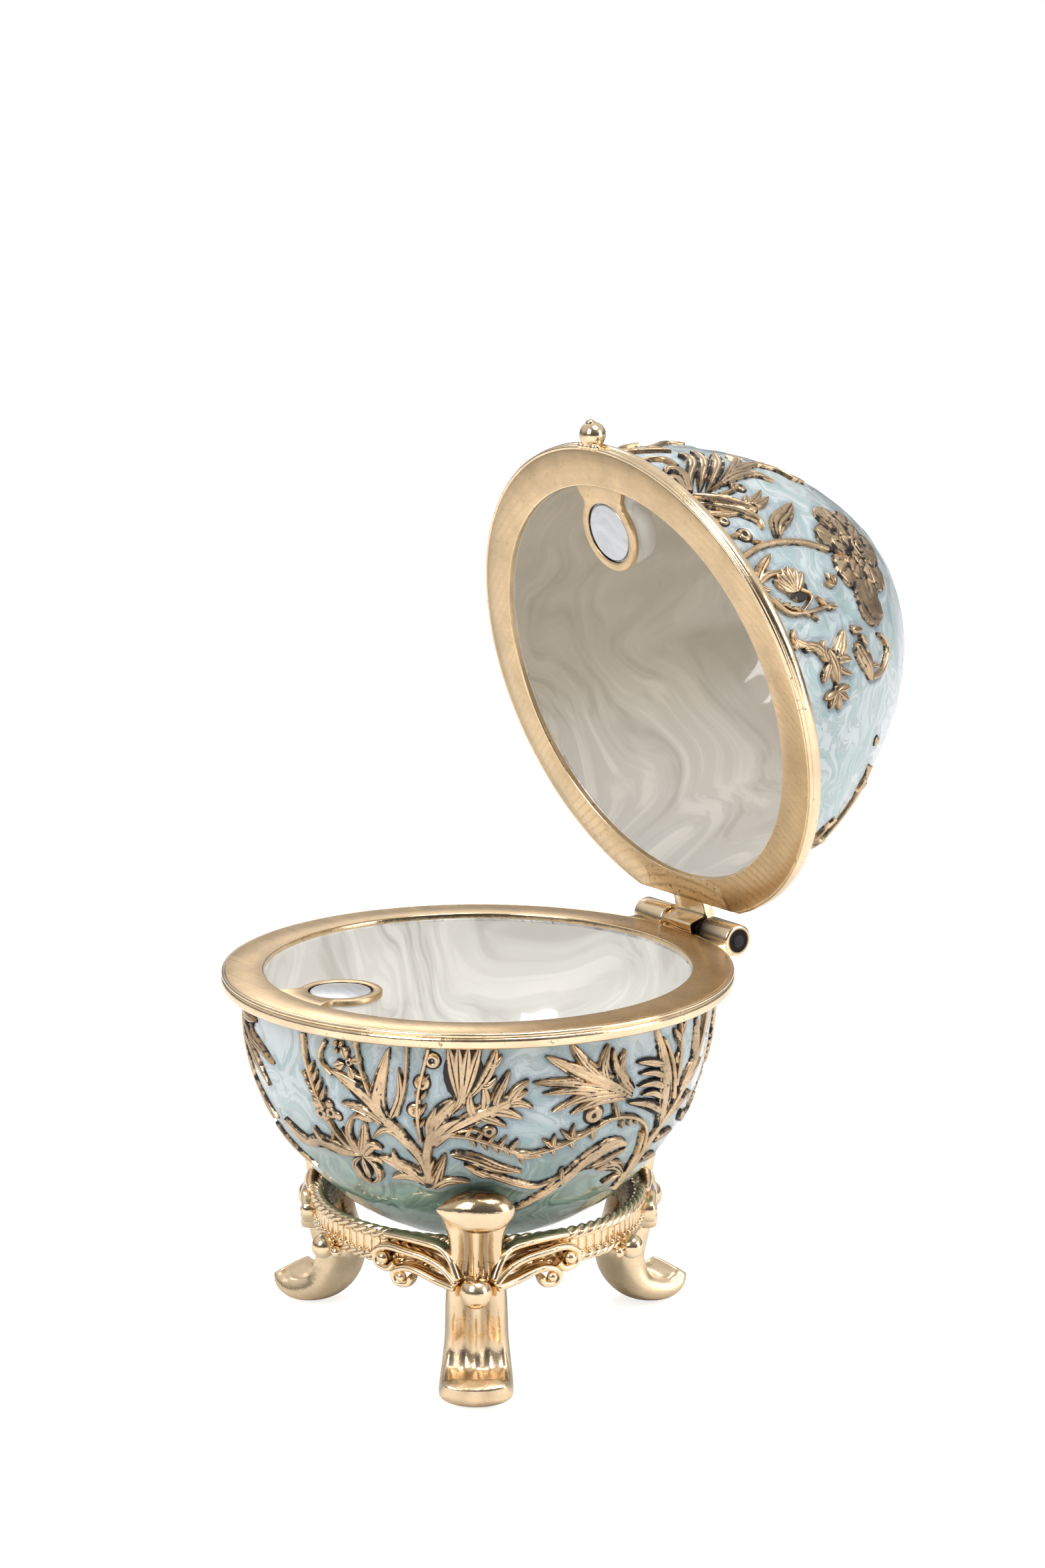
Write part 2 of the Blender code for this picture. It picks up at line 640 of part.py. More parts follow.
def make_leg(bm, angle):
    """One cabriole leg with its rolled head, its ball and the scrolls beside it."""
    leg = bmesh.new()
    swept(leg, range(len(LEG_STATIONS)), lambda index: leg_section(LEG_STATIONS, index))
    ball(leg, Vector((17.4, 0, -16.2)) * MM, 1.7 * MM, (1.0, 1.9, 0.92), sides=8)
    ball(leg, Vector((17.2, 0, -23.4)) * MM, 1.37 * MM, sides=6)
    for side in (-1, 1):
        for reach, top, curl_radius, curl_turn in SCROLLS:
            path = scroll_path(side, reach, top, curl_radius, curl_turn)
            swept(leg, range(len(path)), lambda index: scroll_section(path, index))
    bmesh.ops.rotate(leg, verts=leg.verts, matrix=Matrix.Rotation(math.radians(angle), 3, "Z"))
    mesh = bpy.data.meshes.new("leg")
    leg.to_mesh(mesh)
    leg.free()
    bm.from_mesh(mesh)
    bpy.data.meshes.remove(mesh)


def make_stand(group, tools, axis, mat):
    stand = add_object("stand", stand_ring(), group, axis, mat)
    legs = bmesh.new()
    for angle in LEG_ANGLES:
        make_leg(legs, angle)
    boolean(stand, "UNION", as_tool(add_object("stand_legs", legs, tools, axis)),
            own_overlaps=True)
    # The heads of the legs are hollowed to the bowl that rests on them.
    seat_gap = 0.3 * MM
    seat = Wall(BOWL_RADIUS + seat_gap, BOWL_DEPTH + seat_gap, BOWL_FULLNESS, -RIM_HEIGHT, -1)
    outline = [(0.0, -RIM_HEIGHT)] + seat.points[:-1] + [(0.0, seat.points[-1][1])]
    boolean(stand, "DIFFERENCE", as_tool(turned("bowl_seat", outline, tools, axis, None)))
    return stand


def main():
    for obj in list(bpy.data.objects):
        bpy.data.objects.remove(obj)
    enamel = material("aqua_enamel", (0.55, 0.69, 0.68), 0.0, 0.15)
    gold = material("pale_gold", (0.80, 0.60, 0.36), 1.0, 0.2)
    steel = material("bright_steel", (0.72, 0.73, 0.74), 1.0, 0.3)

    parts = collection("egg_trinket_box")
    tools = collection("cutters_and_joined_shapes")
    axis = bpy.data.objects.new("egg_axis", None)
    axis.location = (0.0, AXIS_Y, RIM_LEVEL)
    hinge = bpy.data.objects.new("lid_hinge", None)
    hinge.parent = axis
    hinge.location = (0.0, HINGE_Y, 0.0)
    hinge.rotation_euler.x = -LID_OPENING
    closed = bpy.data.objects.new("lid_closed", None)
    closed.parent = hinge
    closed.location = (0.0, -HINGE_Y, 0.0)
    for empty in (axis, hinge, closed):
        parts.objects.link(empty)

    make_bowl(parts, tools, axis, enamel)
    make_lid(parts, tools, closed, enamel)
    make_hinge_pin(parts, axis, steel)
    magnet("bowl_magnet", -1, 0.0, parts, axis, steel)
    magnet("lid_magnet", 1, RIM_GAP, parts, closed, steel)
    make_stand(parts, tools, axis, gold)


main()
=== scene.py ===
"""Enamelled egg trinket box on a scrolled stand, with a studio stage.

Laid out as an add-on, and run as a script.  Metres, +Z up.  Each half of the egg is
modelled shut, about the egg's axis, and then set in its resting place.
"""
import json
import math
from bisect import bisect_left
from collections import namedtuple

import bmesh
import bpy
from bpy.props import FloatProperty, FloatVectorProperty, IntProperty, PointerProperty
from mathutils import Matrix, Vector, noise
from mathutils.kdtree import KDTree


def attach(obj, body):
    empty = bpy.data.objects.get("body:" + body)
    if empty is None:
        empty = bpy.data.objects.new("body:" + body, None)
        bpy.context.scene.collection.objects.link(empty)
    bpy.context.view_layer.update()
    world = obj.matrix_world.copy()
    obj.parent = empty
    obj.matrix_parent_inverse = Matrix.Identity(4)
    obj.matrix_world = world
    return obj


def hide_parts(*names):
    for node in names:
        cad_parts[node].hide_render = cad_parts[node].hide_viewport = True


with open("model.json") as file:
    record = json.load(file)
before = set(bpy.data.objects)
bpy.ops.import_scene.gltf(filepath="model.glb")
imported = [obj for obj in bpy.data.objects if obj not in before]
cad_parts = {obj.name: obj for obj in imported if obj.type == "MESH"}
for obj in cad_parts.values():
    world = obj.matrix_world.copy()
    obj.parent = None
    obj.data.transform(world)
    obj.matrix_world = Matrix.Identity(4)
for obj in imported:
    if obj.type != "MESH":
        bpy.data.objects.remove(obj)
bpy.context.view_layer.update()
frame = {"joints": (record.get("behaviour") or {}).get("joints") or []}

bl_info = {
    "name": "Egg trinket box",
    "version": (1, 0, 0),
    "blender": (4, 5, 0),
    "location": "View3D > Sidebar > Trinket Box",
    "description": "Builds an enamelled egg box with gilt relief on a scrolled stand",
    "category": "Object",
}

MM = 0.001
MERGE = 0.000001                # points closer than this are one point

# The hinge gives the egg's place: its pin lies this far behind the egg's axis.
HINGE_Y = 23.2 * MM
HINGE = Vector(frame["joints"][0]["pos_m"])
LID_OPENING = math.radians(frame["joints"][0]["range_deg"][1])
AXIS = HINGE - Vector((0.0, HINGE_Y, 0.0))
RIM_LEVEL = AXIS.z

# Rims and walls
RIM_GAP = 0.4 * MM              # between the rims' faces when the lid is shut
RIM_HEIGHT = 1.4 * MM
RIM_BORE = 18.34 * MM
LID_RIM_CUT = 20.7 * MM         # the lid's rim ends in a flat beside the hinge
BOWL_FULLNESS = 2.09            # exponents of the walls' superellipses
LID_FULLNESS = 1.73
LID_HOLLOW_FULLNESS = 1.87
BOWL_FLOOR = 2.6 * MM           # thickness at the bowl's pole and at the lid's
LID_CROWN = 1.2 * MM
ENAMEL_THICK = 0.4 * MM
LINING_THICK = 0.35 * MM

# Hinge and magnets
KNUCKLE_RADIUS = 1.45 * MM
KNUCKLE_BORE = 0.75 * MM
PIN_RADIUS = 0.6 * MM
BOWL_KNUCKLES = ((-6.5 * MM, -2.5 * MM), (2.9 * MM, 6.8 * MM))
LID_KNUCKLE = (-2.2 * MM, 2.0 * MM)
NOTCH_HALF = 2.4 * MM           # half the width of the notch that the lid's knuckle turns in
NOTCH_DEEP = 0.42 * MM
MAGNET_Y = -14.05 * MM
MAGNET_RADIUS = 2.58 * MM
MAGNET_THICK = 1.8 * MM
MAGNET_HOLE = 2.72 * MM
TAB_POINTS = 96

# Relief and stand
ROOT = -0.40                    # how deep an ornament is rooted, in millimetres
LEG_ANGLES = (-36.0, 84.0, 204.0)
GALLERY_HALF = 29.0             # degrees of gallery on each side of the gap's middle
ROPE_TOP = -20.15 * MM          # both ropes' heights under the rim face
ROPE_BOTTOM = -22.4 * MM
FLOOR = -32.95                  # the floor under the rim face, in millimetres


# ---------------------------------------------------------------- settings

class EggSettings(bpy.types.PropertyGroup):
    rim_radius: FloatProperty(name="Rim radius", description="Outside of both rims",
                              default=22.0 * MM, unit="LENGTH")
    bowl_radius: FloatProperty(name="Bowl radius", description="Enamel just under the bowl's rim",
                               default=20.1 * MM, unit="LENGTH")
    bowl_depth: FloatProperty(name="Bowl depth", description="From the rim band to the pole",
                              default=21.9 * MM, unit="LENGTH")
    lid_radius: FloatProperty(name="Lid radius", description="Enamel just above the lid's rim",
                              default=20.4 * MM, unit="LENGTH")
    lid_rise: FloatProperty(name="Lid rise", description="From the rim band to the pole",
                            default=25.2 * MM, unit="LENGTH")
    relief_height: FloatProperty(name="Relief height", description="Crest over the enamel",
                                 default=0.42 * MM, unit="LENGTH")


class StandSettings(bpy.types.PropertyGroup):
    rope_radius: FloatProperty(name="Rope ring radius", description="Middle of the upper rope",
                               default=14.0 * MM, unit="LENGTH")
    rope_twists: IntProperty(name="Rope twists", description="Strands passed in one round",
                             default=84, min=12)
    bars: IntProperty(name="Gallery bars", description="Upright bars round the collar",
                      default=96, min=12)


class FinishSettings(bpy.types.PropertyGroup):
    aqua: FloatVectorProperty(name="Aqua", description="The deeper enamel colour",
                              default=(0.28, 0.42, 0.41), subtype="COLOR")
    milk: FloatVectorProperty(name="Milk", description="The lighter enamel colour",
                              default=(0.49, 0.56, 0.565), subtype="COLOR")
    pearl: FloatVectorProperty(name="Pearl", description="The bowl's lining",
                               default=(0.81, 0.80, 0.765), subtype="COLOR")
    # The lid's lining: the pearl darkened as painted shade, and warmer.
    shaded_cream: FloatVectorProperty(name="Cream", description="The lid's lining",
                               default=(0.63, 0.575, 0.48), subtype="COLOR")
    gold: FloatVectorProperty(name="Gold", description="The polished gold plate",
                              default=(0.89, 0.69, 0.455), subtype="COLOR")


# ---------------------------------------------------------------- mesh helpers

def closed_place():
    """Where the bowl's half and the stand are."""
    return Matrix.Translation(AXIS)


def open_place():
    """Where the lid's half is: swung back about the hinge."""
    swing = Matrix.Rotation(-LID_OPENING, 4, "X")
    return Matrix.Translation(HINGE) @ swing @ Matrix.Translation((0.0, -HINGE_Y, 0.0))


# Each half's side of the rim plane, the height of its rim's face, how dark its relief has
# aged, and how far under that face its tab and its magnet lie, in millimetres.
Half = namedtuple("Half", "name side level body place age tab_drop disc_drop")
HALVES = (Half("bowl", -1, 0.0, "base", closed_place, 1.0, 0.02, 0.08),
          Half("lid", 1, RIM_GAP, "lid", open_place, 0.7, 0.14, 0.22))


def add_piece(name, bm, place, body, nodes, finishes, sharp=40.0):
    """A finished piece: its place goes in its mesh, and it rides on a body."""
    bmesh.ops.transform(bm, matrix=place, verts=bm.verts)
    mesh = bpy.data.meshes.new(name)
    bm.to_mesh(mesh)
    bm.free()
    mesh.shade_smooth()
    mesh.set_sharp_from_angle(angle=math.radians(sharp))
    obj = bpy.data.objects.new(name, mesh)
    bpy.context.scene.collection.objects.link(obj)
    for finish in finishes:
        mesh.materials.append(finish_of(finish))
    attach(obj, body)
    if nodes:
        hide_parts(*nodes)
    return obj


def add_to_half(half, name, bm, finishes, sharp=40.0):
    """A piece of the bowl or of the lid."""
    return add_piece(f"{half.name}_{name}", bm, half.place(), half.body, [half.name],
                     finishes, sharp)


def add_to_stand(name, bm, finishes, sharp=40.0, turn=0.0):
    """A piece of the stand, turned about the egg's axis."""
    place = closed_place() @ Matrix.Rotation(math.radians(turn), 4, "Z")
    return add_piece(name, bm, place, "base", ["stand"], finishes, sharp)


def thicken(obj, thickness):
    """Gives an open shell its back."""
    back = obj.modifiers.new("Back", "SOLIDIFY")
    back.thickness = thickness
    back.offset = -1.0


def soften(obj):
    """Rounds a coarse form."""
    smooth = obj.modifiers.new("Smooth", "SUBSURF")
    smooth.levels = smooth.render_levels = 1


def patina_and_shade_layer(bm):
    """The layer that the gold finishes read: 0 on bare gold, 1 in a dark recess; it marks
    patination, and painted shade on the legs, the heads and in the hinge's gap.
    """
    return bm.verts.layers.float.new("patina")


def spun(bm, outline, steps):
    """Spins a closed outline of (radius, height) about Z."""
    verts = [bm.verts.new((radius, 0.0, height)) for radius, height in outline]
    edges = [bm.edges.new(pair) for pair in zip(verts, verts[1:] + verts[:1])]
    bmesh.ops.spin(bm, geom=verts + edges, cent=(0, 0, 0), axis=(0, 0, 1), angle=math.tau,
                   steps=steps, use_merge=True)
    bmesh.ops.recalc_face_normals(bm, faces=bm.faces)


def wrapped(bm, around, along, shape):
    """A grid rolled round Z: shape(turn, share) places its points, and its seams merge."""
    grid = bmesh.ops.create_grid(bm, x_segments=around, y_segments=along, size=1.0)["verts"]
    for vert in grid:
        vert.co = shape(math.pi * (vert.co.x + 1), (vert.co.y + 1) / 2)
    bmesh.ops.remove_doubles(bm, verts=grid, dist=MERGE)
    bmesh.ops.recalc_face_normals(bm, faces=bm.faces)


def face_out(bm, outward):
    """Turns an open shell's faces away from the axis, or towards it."""
    bm.normal_update()
    widest = max(bm.verts, key=lambda vert: vert.co.x)
    if (widest.normal.x > 0) != outward:
        bmesh.ops.reverse_faces(bm, faces=bm.faces)


def absorb(bm, part):
    """Adds one mesh in the making to another."""
    mesh = bpy.data.meshes.new("part")
    part.to_mesh(mesh)
    part.free()
    bm.from_mesh(mesh)
    bpy.data.meshes.remove(mesh)


def ball(bm, centre, radius, squash=(1.0, 1.0, 1.0), sides=24):
    """A ball, or a squashed one."""
    place = Matrix.Translation(centre) @ Matrix.Diagonal((*squash, 1.0))
    return bmesh.ops.create_uvsphere(bm, u_segments=sides, v_segments=sides // 2,
                                     radius=radius, matrix=place)["verts"]


def round_edges(bm, faces, offset, segments=3):
    """Bevels every edge of some faces."""
    edges = list({edge for face in faces for edge in face.edges})
    bmesh.ops.bevel(bm, geom=edges, offset=offset, segments=segments, profile=0.5,
                    affect="EDGES", material=-1)


def cylinder(bm, radius, start, end, sides=48, bevel=0.0):
    """A cylinder between two points with bevelled ends."""
    start, end = Vector(start), Vector(end)
    along = end - start
    turn = along.to_track_quat("Z", "Y").to_matrix().to_4x4()
    made = bmesh.ops.create_cone(bm, cap_ends=True, segments=sides, radius1=radius,
                                 radius2=radius, depth=along.length,
                                 matrix=Matrix.Translation((start + end) / 2) @ turn)["verts"]
    if bevel:
        round_edges(bm, [face for vert in made for face in vert.link_faces
                         if len(face.verts) == sides], bevel)


def block(bm, low, high, bevel):
    """A box with rounded edges."""
    low, high = Vector(low), Vector(high)
    size = Matrix.Diagonal((*(high - low), 1.0))
    place = Matrix.Translation((low + high) / 2) @ size
    made = bmesh.ops.create_cube(bm, size=1.0, matrix=place)["verts"]
    round_edges(bm, [face for vert in made for face in vert.link_faces], bevel)


def sweep(bm, rings, closed=False):
    """A form drawn through rings of points, capped at its ends or closed on itself."""
    rings = rings + [rings[0]] if closed else rings
    made = bmesh.ops.create_circle(bm, cap_ends=False, segments=len(rings[0]),
                                   radius=MM)["verts"]
    around = list({edge for vert in made for edge in vert.link_edges})
    ring, every, ends = made, list(made), [list(around)]
    for step, points in enumerate(rings):
        if step:
            geom = bmesh.ops.extrude_edge_only(bm, edges=around)["geom"]
            fresh = {item for item in geom if isinstance(item, bmesh.types.BMVert)}
            around = [item for item in geom if isinstance(item, bmesh.types.BMEdge)
                      and item.verts[0] in fresh and item.verts[1] in fresh]
            ring = [next(edge.other_vert(vert) for edge in vert.link_edges
                         if edge.other_vert(vert) in fresh) for vert in ring]
            every += ring
        for vert, point in zip(ring, points):
            vert.co = point
    if closed:
        bmesh.ops.remove_doubles(bm, verts=every, dist=MERGE)
        faces = bm.faces[:]
    else:
        ends.append(around)
        for loop in ends:
            bmesh.ops.contextual_create(bm, geom=loop)
        faces = list({face for vert in every for face in vert.link_faces})
    bmesh.ops.recalc_face_normals(bm, faces=faces)


def smooth_path(places, share):
    """A point at a share of the way along a Catmull-Rom curve through some places."""
    last = len(places) - 1
    index = min(int(share * last), last - 1)
    part = share * last - index
    near = [places[min(max(index + step, 0), last)] for step in (-1, 0, 1, 2)]
    return [0.5 * (2 * p1 + (p2 - p0) * part + (2 * p0 - 5 * p1 + 4 * p2 - p3) * part ** 2
                   + (3 * p1 - p0 - 3 * p2 + p3) * part ** 3) for p0, p1, p2, p3 in zip(*near)]


def hump(value, width):
    """A bell curve: 1 at 0, and nearly 0 at twice the width."""
    return math.exp(-(value / width) ** 2)


def clamped(value, low=0.0, high=1.0):
    """A value kept between two limits."""
    return min(max(value, low), high)


# ---------------------------------------------------------------- the egg's wall

class Wall:
    """Half an egg: a superellipse from the rim band to the pole, on one side of the rim."""

    STEPS = 600

    def __init__(self, radius, depth, fullness, start, side):
        self.radius, self.depth, self.fullness = radius, depth, fullness
        self.start, self.side = start, side
        self.path = [self.point(step / self.STEPS * math.pi / 2)
                     for step in range(self.STEPS + 1)]
        self.arcs = [0.0]
        for (r0, z0), (r1, z1) in zip(self.path, self.path[1:]):
            self.arcs.append(self.arcs[-1] + math.hypot(r1 - r0, z1 - z0))
        self.total = self.arcs[-1]

    def point(self, angle):
        """Radius and height at an angle of the superellipse, from the rim to the pole."""
        power = 2 / self.fullness
        radius = self.radius * max(math.cos(angle), 0.0) ** power
        return radius, self.start + self.side * self.depth * math.sin(angle) ** power

    def section(self, arc):
        """Radius, height and the outward normal's two parts, at an arc from the rim."""
        index = clamped(bisect_left(self.arcs, arc), 1, self.STEPS)
        (r0, z0), (r1, z1) = self.path[index - 1], self.path[index]
        span = self.arcs[index] - self.arcs[index - 1]
        part = (arc - self.arcs[index - 1]) / span
        return (r0 + (r1 - r0) * part, z0 + (z1 - z0) * part,
                abs(z1 - z0) / span, (r0 - r1) * self.side / span)

    def place(self, longitude, arc, lift=0.0):
        """A point over the wall, at a longitude in degrees."""
        radius, height, out, up = self.section(arc)
        radius += out * lift
        turn = math.radians(longitude)
        return Vector((radius * math.cos(turn), radius * math.sin(turn), height + up * lift))


def egg_settings():
    """The sizes that the panel's owner may change."""
    return bpy.context.scene.egg_settings


def outer_wall(half):
    """The enamel's surface."""
    egg = egg_settings()
    if half.name == "bowl":
        return Wall(egg.bowl_radius, egg.bowl_depth, BOWL_FULLNESS, -RIM_HEIGHT, -1)
    return Wall(egg.lid_radius, egg.lid_rise, LID_FULLNESS, RIM_GAP + RIM_HEIGHT, 1)


def inner_wall(half):
    """The lining's surface."""
    egg = egg_settings()
    if half.name == "bowl":
        return Wall(RIM_BORE, egg.bowl_depth - BOWL_FLOOR, BOWL_FULLNESS, -RIM_HEIGHT, -1)
    return Wall(RIM_BORE, egg.lid_rise - LID_CROWN, LID_HOLLOW_FULLNESS,
                RIM_GAP + RIM_HEIGHT, 1)


# ---------------------------------------------------------------- relief

class Relief:
    """Raised ornaments on a wall, each a closed shape rooted below the surface.

    A place on the wall is a longitude in degrees and an arc from the rim in millimetres.
    A heading of 0 runs away from the rim, and 90 towards greater longitudes.
    """

    # Places of a plate's columns across it; the outermost one is the dark foot.
    SPREAD = (0.0, 0.14, 0.38, 0.62, 0.84, 1.0, 1.0)
    FOOT = 6
    FOOT_WIDE = 0.08
    FOOT_DARK = 0.62
    # Small batches keep each mesh operation quick.
    BATCH = 4000

    def __init__(self, wall, height, turn, age):
        self.wall, self.height, self.turn, self.age = wall, height / MM, turn, age
        self.touch = []
        self.batches = []
        self.renew()

    def renew(self):
        """Starts a batch."""
        self.bm = bmesh.new()
        self.patina = patina_and_shade_layer(self.bm)
        self.batches.append(self.bm)

    def whole(self):
        """All the batches as one mesh."""
        bm = bmesh.new()
        patina_and_shade_layer(bm)
        for batch in self.batches:
            absorb(bm, batch)
        return bm

    def radius(self, arc):
        """The wall's radius in millimetres."""
        return self.wall.section(max(arc, 0.0) * MM)[0] / MM

    def toward(self, place, heading, reach):
        """The place that lies so many millimetres off on a heading."""
        turn = math.radians(heading)
        right = reach * math.sin(turn) / max(self.radius(place[1]), 2.0)
        return place[0] + math.degrees(right), place[1] + reach * math.cos(turn)

    def spine(self, longitude, arc, heading, length, bend):
        """Four places along a path that turns by bend on its way."""
        places = [(longitude, arc)]
        for step in (0.5, 1.5, 2.5):
            places.append(self.toward(places[-1], heading + bend * step / 3, length / 3))
        return places

    def station(self, places, along, half_at):
        """How a plate lies at a share of its curve: its place, the way across, its width."""
        longitude, arc = smooth_path(places, along)
        before = smooth_path(places, max(along - 0.03, 0.0))
        after = smooth_path(places, min(along + 0.03, 1.0))
        radius = self.radius(arc)
        right = math.radians(after[0] - before[0]) * radius
        across = math.atan2(right, after[1] - before[1]) + math.pi / 2
        per_mm = math.degrees(math.sin(across) / max(radius, 2.0))
        return along, longitude + self.turn, arc, per_mm, math.cos(across), half_at(along)

    def plate(self, rows, places, half_at, form):
        """A strip along a curve: half_at(along) is half its width in millimetres, and
        form(along, side, half) gives its lift and patina."""
        if len(self.bm.verts) > self.BATCH:
            self.renew()
        low = bmesh.ops.create_grid(self.bm, x_segments=2 * self.FOOT, y_segments=rows,
                                    size=1.0)["verts"]
        faces = list({face for vert in low for face in vert.link_faces})
        made = bmesh.ops.extrude_face_region(self.bm, geom=faces, use_keep_orig=True)["geom"]
        high = [item for item in made if isinstance(item, bmesh.types.BMVert)]
        stations = [self.station(places, clamped((row - 1) / (rows - 2)), half_at)
                    for row in range(rows + 1)]
        for verts, is_low in ((low, True), (high, False)):
            for vert in verts:
                column = round(vert.co.x * self.FOOT)
                row = round((vert.co.y + 1) / 2 * rows)
                along, longitude, arc, per_mm, away, half = stations[row]
                side = math.copysign(self.SPREAD[abs(column)], column) if column else 0.0
                edge = abs(column) == self.FOOT
                reach = side * (half + (self.FOOT_WIDE if edge else 0.0))
                spot = longitude + reach * per_mm, max(arc + reach * away, 0.0) * MM
                if is_low:
                    lift, dark = ROOT, 1.0
                elif edge or row in (0, rows):
                    lift, dark = 0.0, self.FOOT_DARK
                else:
                    lift, dark = form(along, side, half)
                    if abs(column) in (0, self.FOOT - 1):
                        self.touch.append(self.wall.place(*spot))
                vert.co = self.wall.place(*spot, lift * MM)
                vert[self.patina] = dark * self.age
        shell = {face for vert in low + high for face in vert.link_faces}
        bmesh.ops.recalc_face_normals(self.bm, faces=list(shell))

    def crown(self, side, edge):
        """The height across a rounded strip, down to a share of it at the edge."""
        return self.height * (edge + (1 - edge) * math.sqrt(max(1 - side * side, 0.0)))

    def blade(self, places, width, peak=0.35, base=0.0, rib=0.5, end=0.0, edge=0.3, rows=0):
        """A pointed leaf or petal along a curve, widest at peak; end keeps its root wide.

        Base lifts it all, rib deepens the groove down its middle, and edge darkens its sides.
        """
        power = math.log(0.5) / math.log(peak)

        def half_at(along):
            full = math.sin(math.pi * along ** power) ** 0.75 if 0 < along < 1 else 0.0
            if along < peak:
                full = max(full, end)
            return 0.39 * width * full

        def form(along, side, half):
            full = min(1.0, 2.5 * half / width)
            groove = hump(side, 0.12) * rib * min(1.0, 3 * full)
            if width > 1.2 and rib:
                # A broad leaf also has a short cut on each side, one further along.
                middle = 0.22 + 0.3 * (side > 0)
                cut = hump(abs(side) - 0.62, 0.12) * max(0.0, 0.9 - 1.5 * abs(along - middle))
                groove = max(groove, cut)
            dark = 0.95 * groove + edge * (abs(side) > 0.8) + 0.5 * (1 - along) ** 6
            lift = self.crown(side, 0.66) * (0.75 + 0.25 * full)
            return base + lift - 0.17 * groove, min(dark, 1.0)
        self.plate(rows or 4 + 4 * len(places), places, half_at, form)

    def leaf(self, longitude, arc, heading, length, width, bend=0.0, rows=10, **more):
        """A blade given by its root, heading and length, bending as it goes."""
        self.blade(self.spine(longitude, arc, heading, length, bend), width, rows=rows, **more)

    def leaflet(self, longitude, arc, heading, length, width, **more):
        """A small leaf."""
        self.leaf(longitude, arc, heading, length, width, rows=7, **more)

    def stem(self, places, width, taper=0.5, rows=0):
        """A tapering half-round stem through a few places."""
        self.plate(rows or 4 + 5 * (len(places) - 1), places,
                   lambda along: width / 2 * (1 - taper * along),
                   lambda along, side, half: (self.crown(side, 0.6), 0.3 * (abs(side) > 0.95)))

    def bed(self, longitude, arc, heading, length, width):
        """A low dark plate that lies under the lobes of a leaf."""
        self.plate(8, self.spine(longitude, arc, heading, length, 0.0),
                   lambda along: width / 2 * math.sin(0.3 + 2.6 * along) ** 0.6,
                   lambda along, side, half: (0.17, 1.0))

    def bead(self, longitude, arc, radius, dimple=0.0):
        """A berry, with a dark ringed dimple in its middle where one is asked for."""
        if len(self.bm.verts) > self.BATCH:
            self.renew()
        centre = self.wall.place(longitude + self.turn, arc * MM)
        normal = self.wall.place(longitude + self.turn, arc * MM, MM) - centre
        turn = normal.to_track_quat("Z", "Y").to_matrix()
        made = bmesh.ops.create_uvsphere(self.bm, u_segments=18, v_segments=14,
                                         radius=1.0)["verts"]
        for vert in made:
            rise = 0.6 * vert.co.z
            vert[self.patina] = 0.95 if vert.co.z < 0.3 else 0.0
            if dimple and vert.co.z > 0:
                hollow = hump(vert.co.xy.length, 0.4)
                rise -= dimple * hollow
                vert[self.patina] = max(vert[self.patina], 0.95 * hollow)
            spread = 1.16 if vert.co.z < 0.1 else 1.0
            local = Vector((vert.co.x * spread, vert.co.y * spread, rise)) * radius * MM
            vert.co = centre + turn @ local
        for step in range(10):
            spot = self.toward((longitude, arc), 36 * step, radius)
            self.touch.append(self.wall.place(spot[0] + self.turn, max(spot[1], 0) * MM))

    def blossom(self, longitude, arc, radius, petals=5, heading=0.0):
        """A small open flower with a dark heart."""
        for petal in range(petals):
            facing = heading + 360 * petal / petals
            start = self.toward((longitude, arc), facing, 0.22 * radius)
            self.leaf(*start, facing, 0.85 * radius, 0.85 * radius, peak=0.6, rib=0.5, rows=8)
        self.bead(longitude, arc, 0.3 * radius, dimple=0.5)

    def rose(self, longitude, arc):
        """An open rose: rings of broad petals, each ring higher, about a tight heart."""
        rings = ((7, 2.0, 2.8, 4.1, 0.0, 0.75), (6, 1.0, 2.3, 3.1, 0.15, 0.6),
                 (4, 0.2, 1.7, 2.4, 0.29, 0.6))
        for number, (petals, start, reach, width, base, rib) in enumerate(rings):
            for petal in range(petals):
                facing = 360 * petal / petals + 17 * number
                root = self.toward((longitude, arc), facing, start)
                self.leaf(*root, facing, reach, width, bend=22, peak=0.6, base=base, rib=rib,
                          edge=0.75, end=0.7, rows=14)
        for reach, lift in ((0.95, 0.50), (0.45, 0.56)):
            ring = [self.toward((longitude, arc), 72 * step + 60, reach) for step in range(5)]
            self.blade(ring, 0.62, peak=0.5, base=lift, rib=0.0, edge=0.8, end=0.8, rows=16)


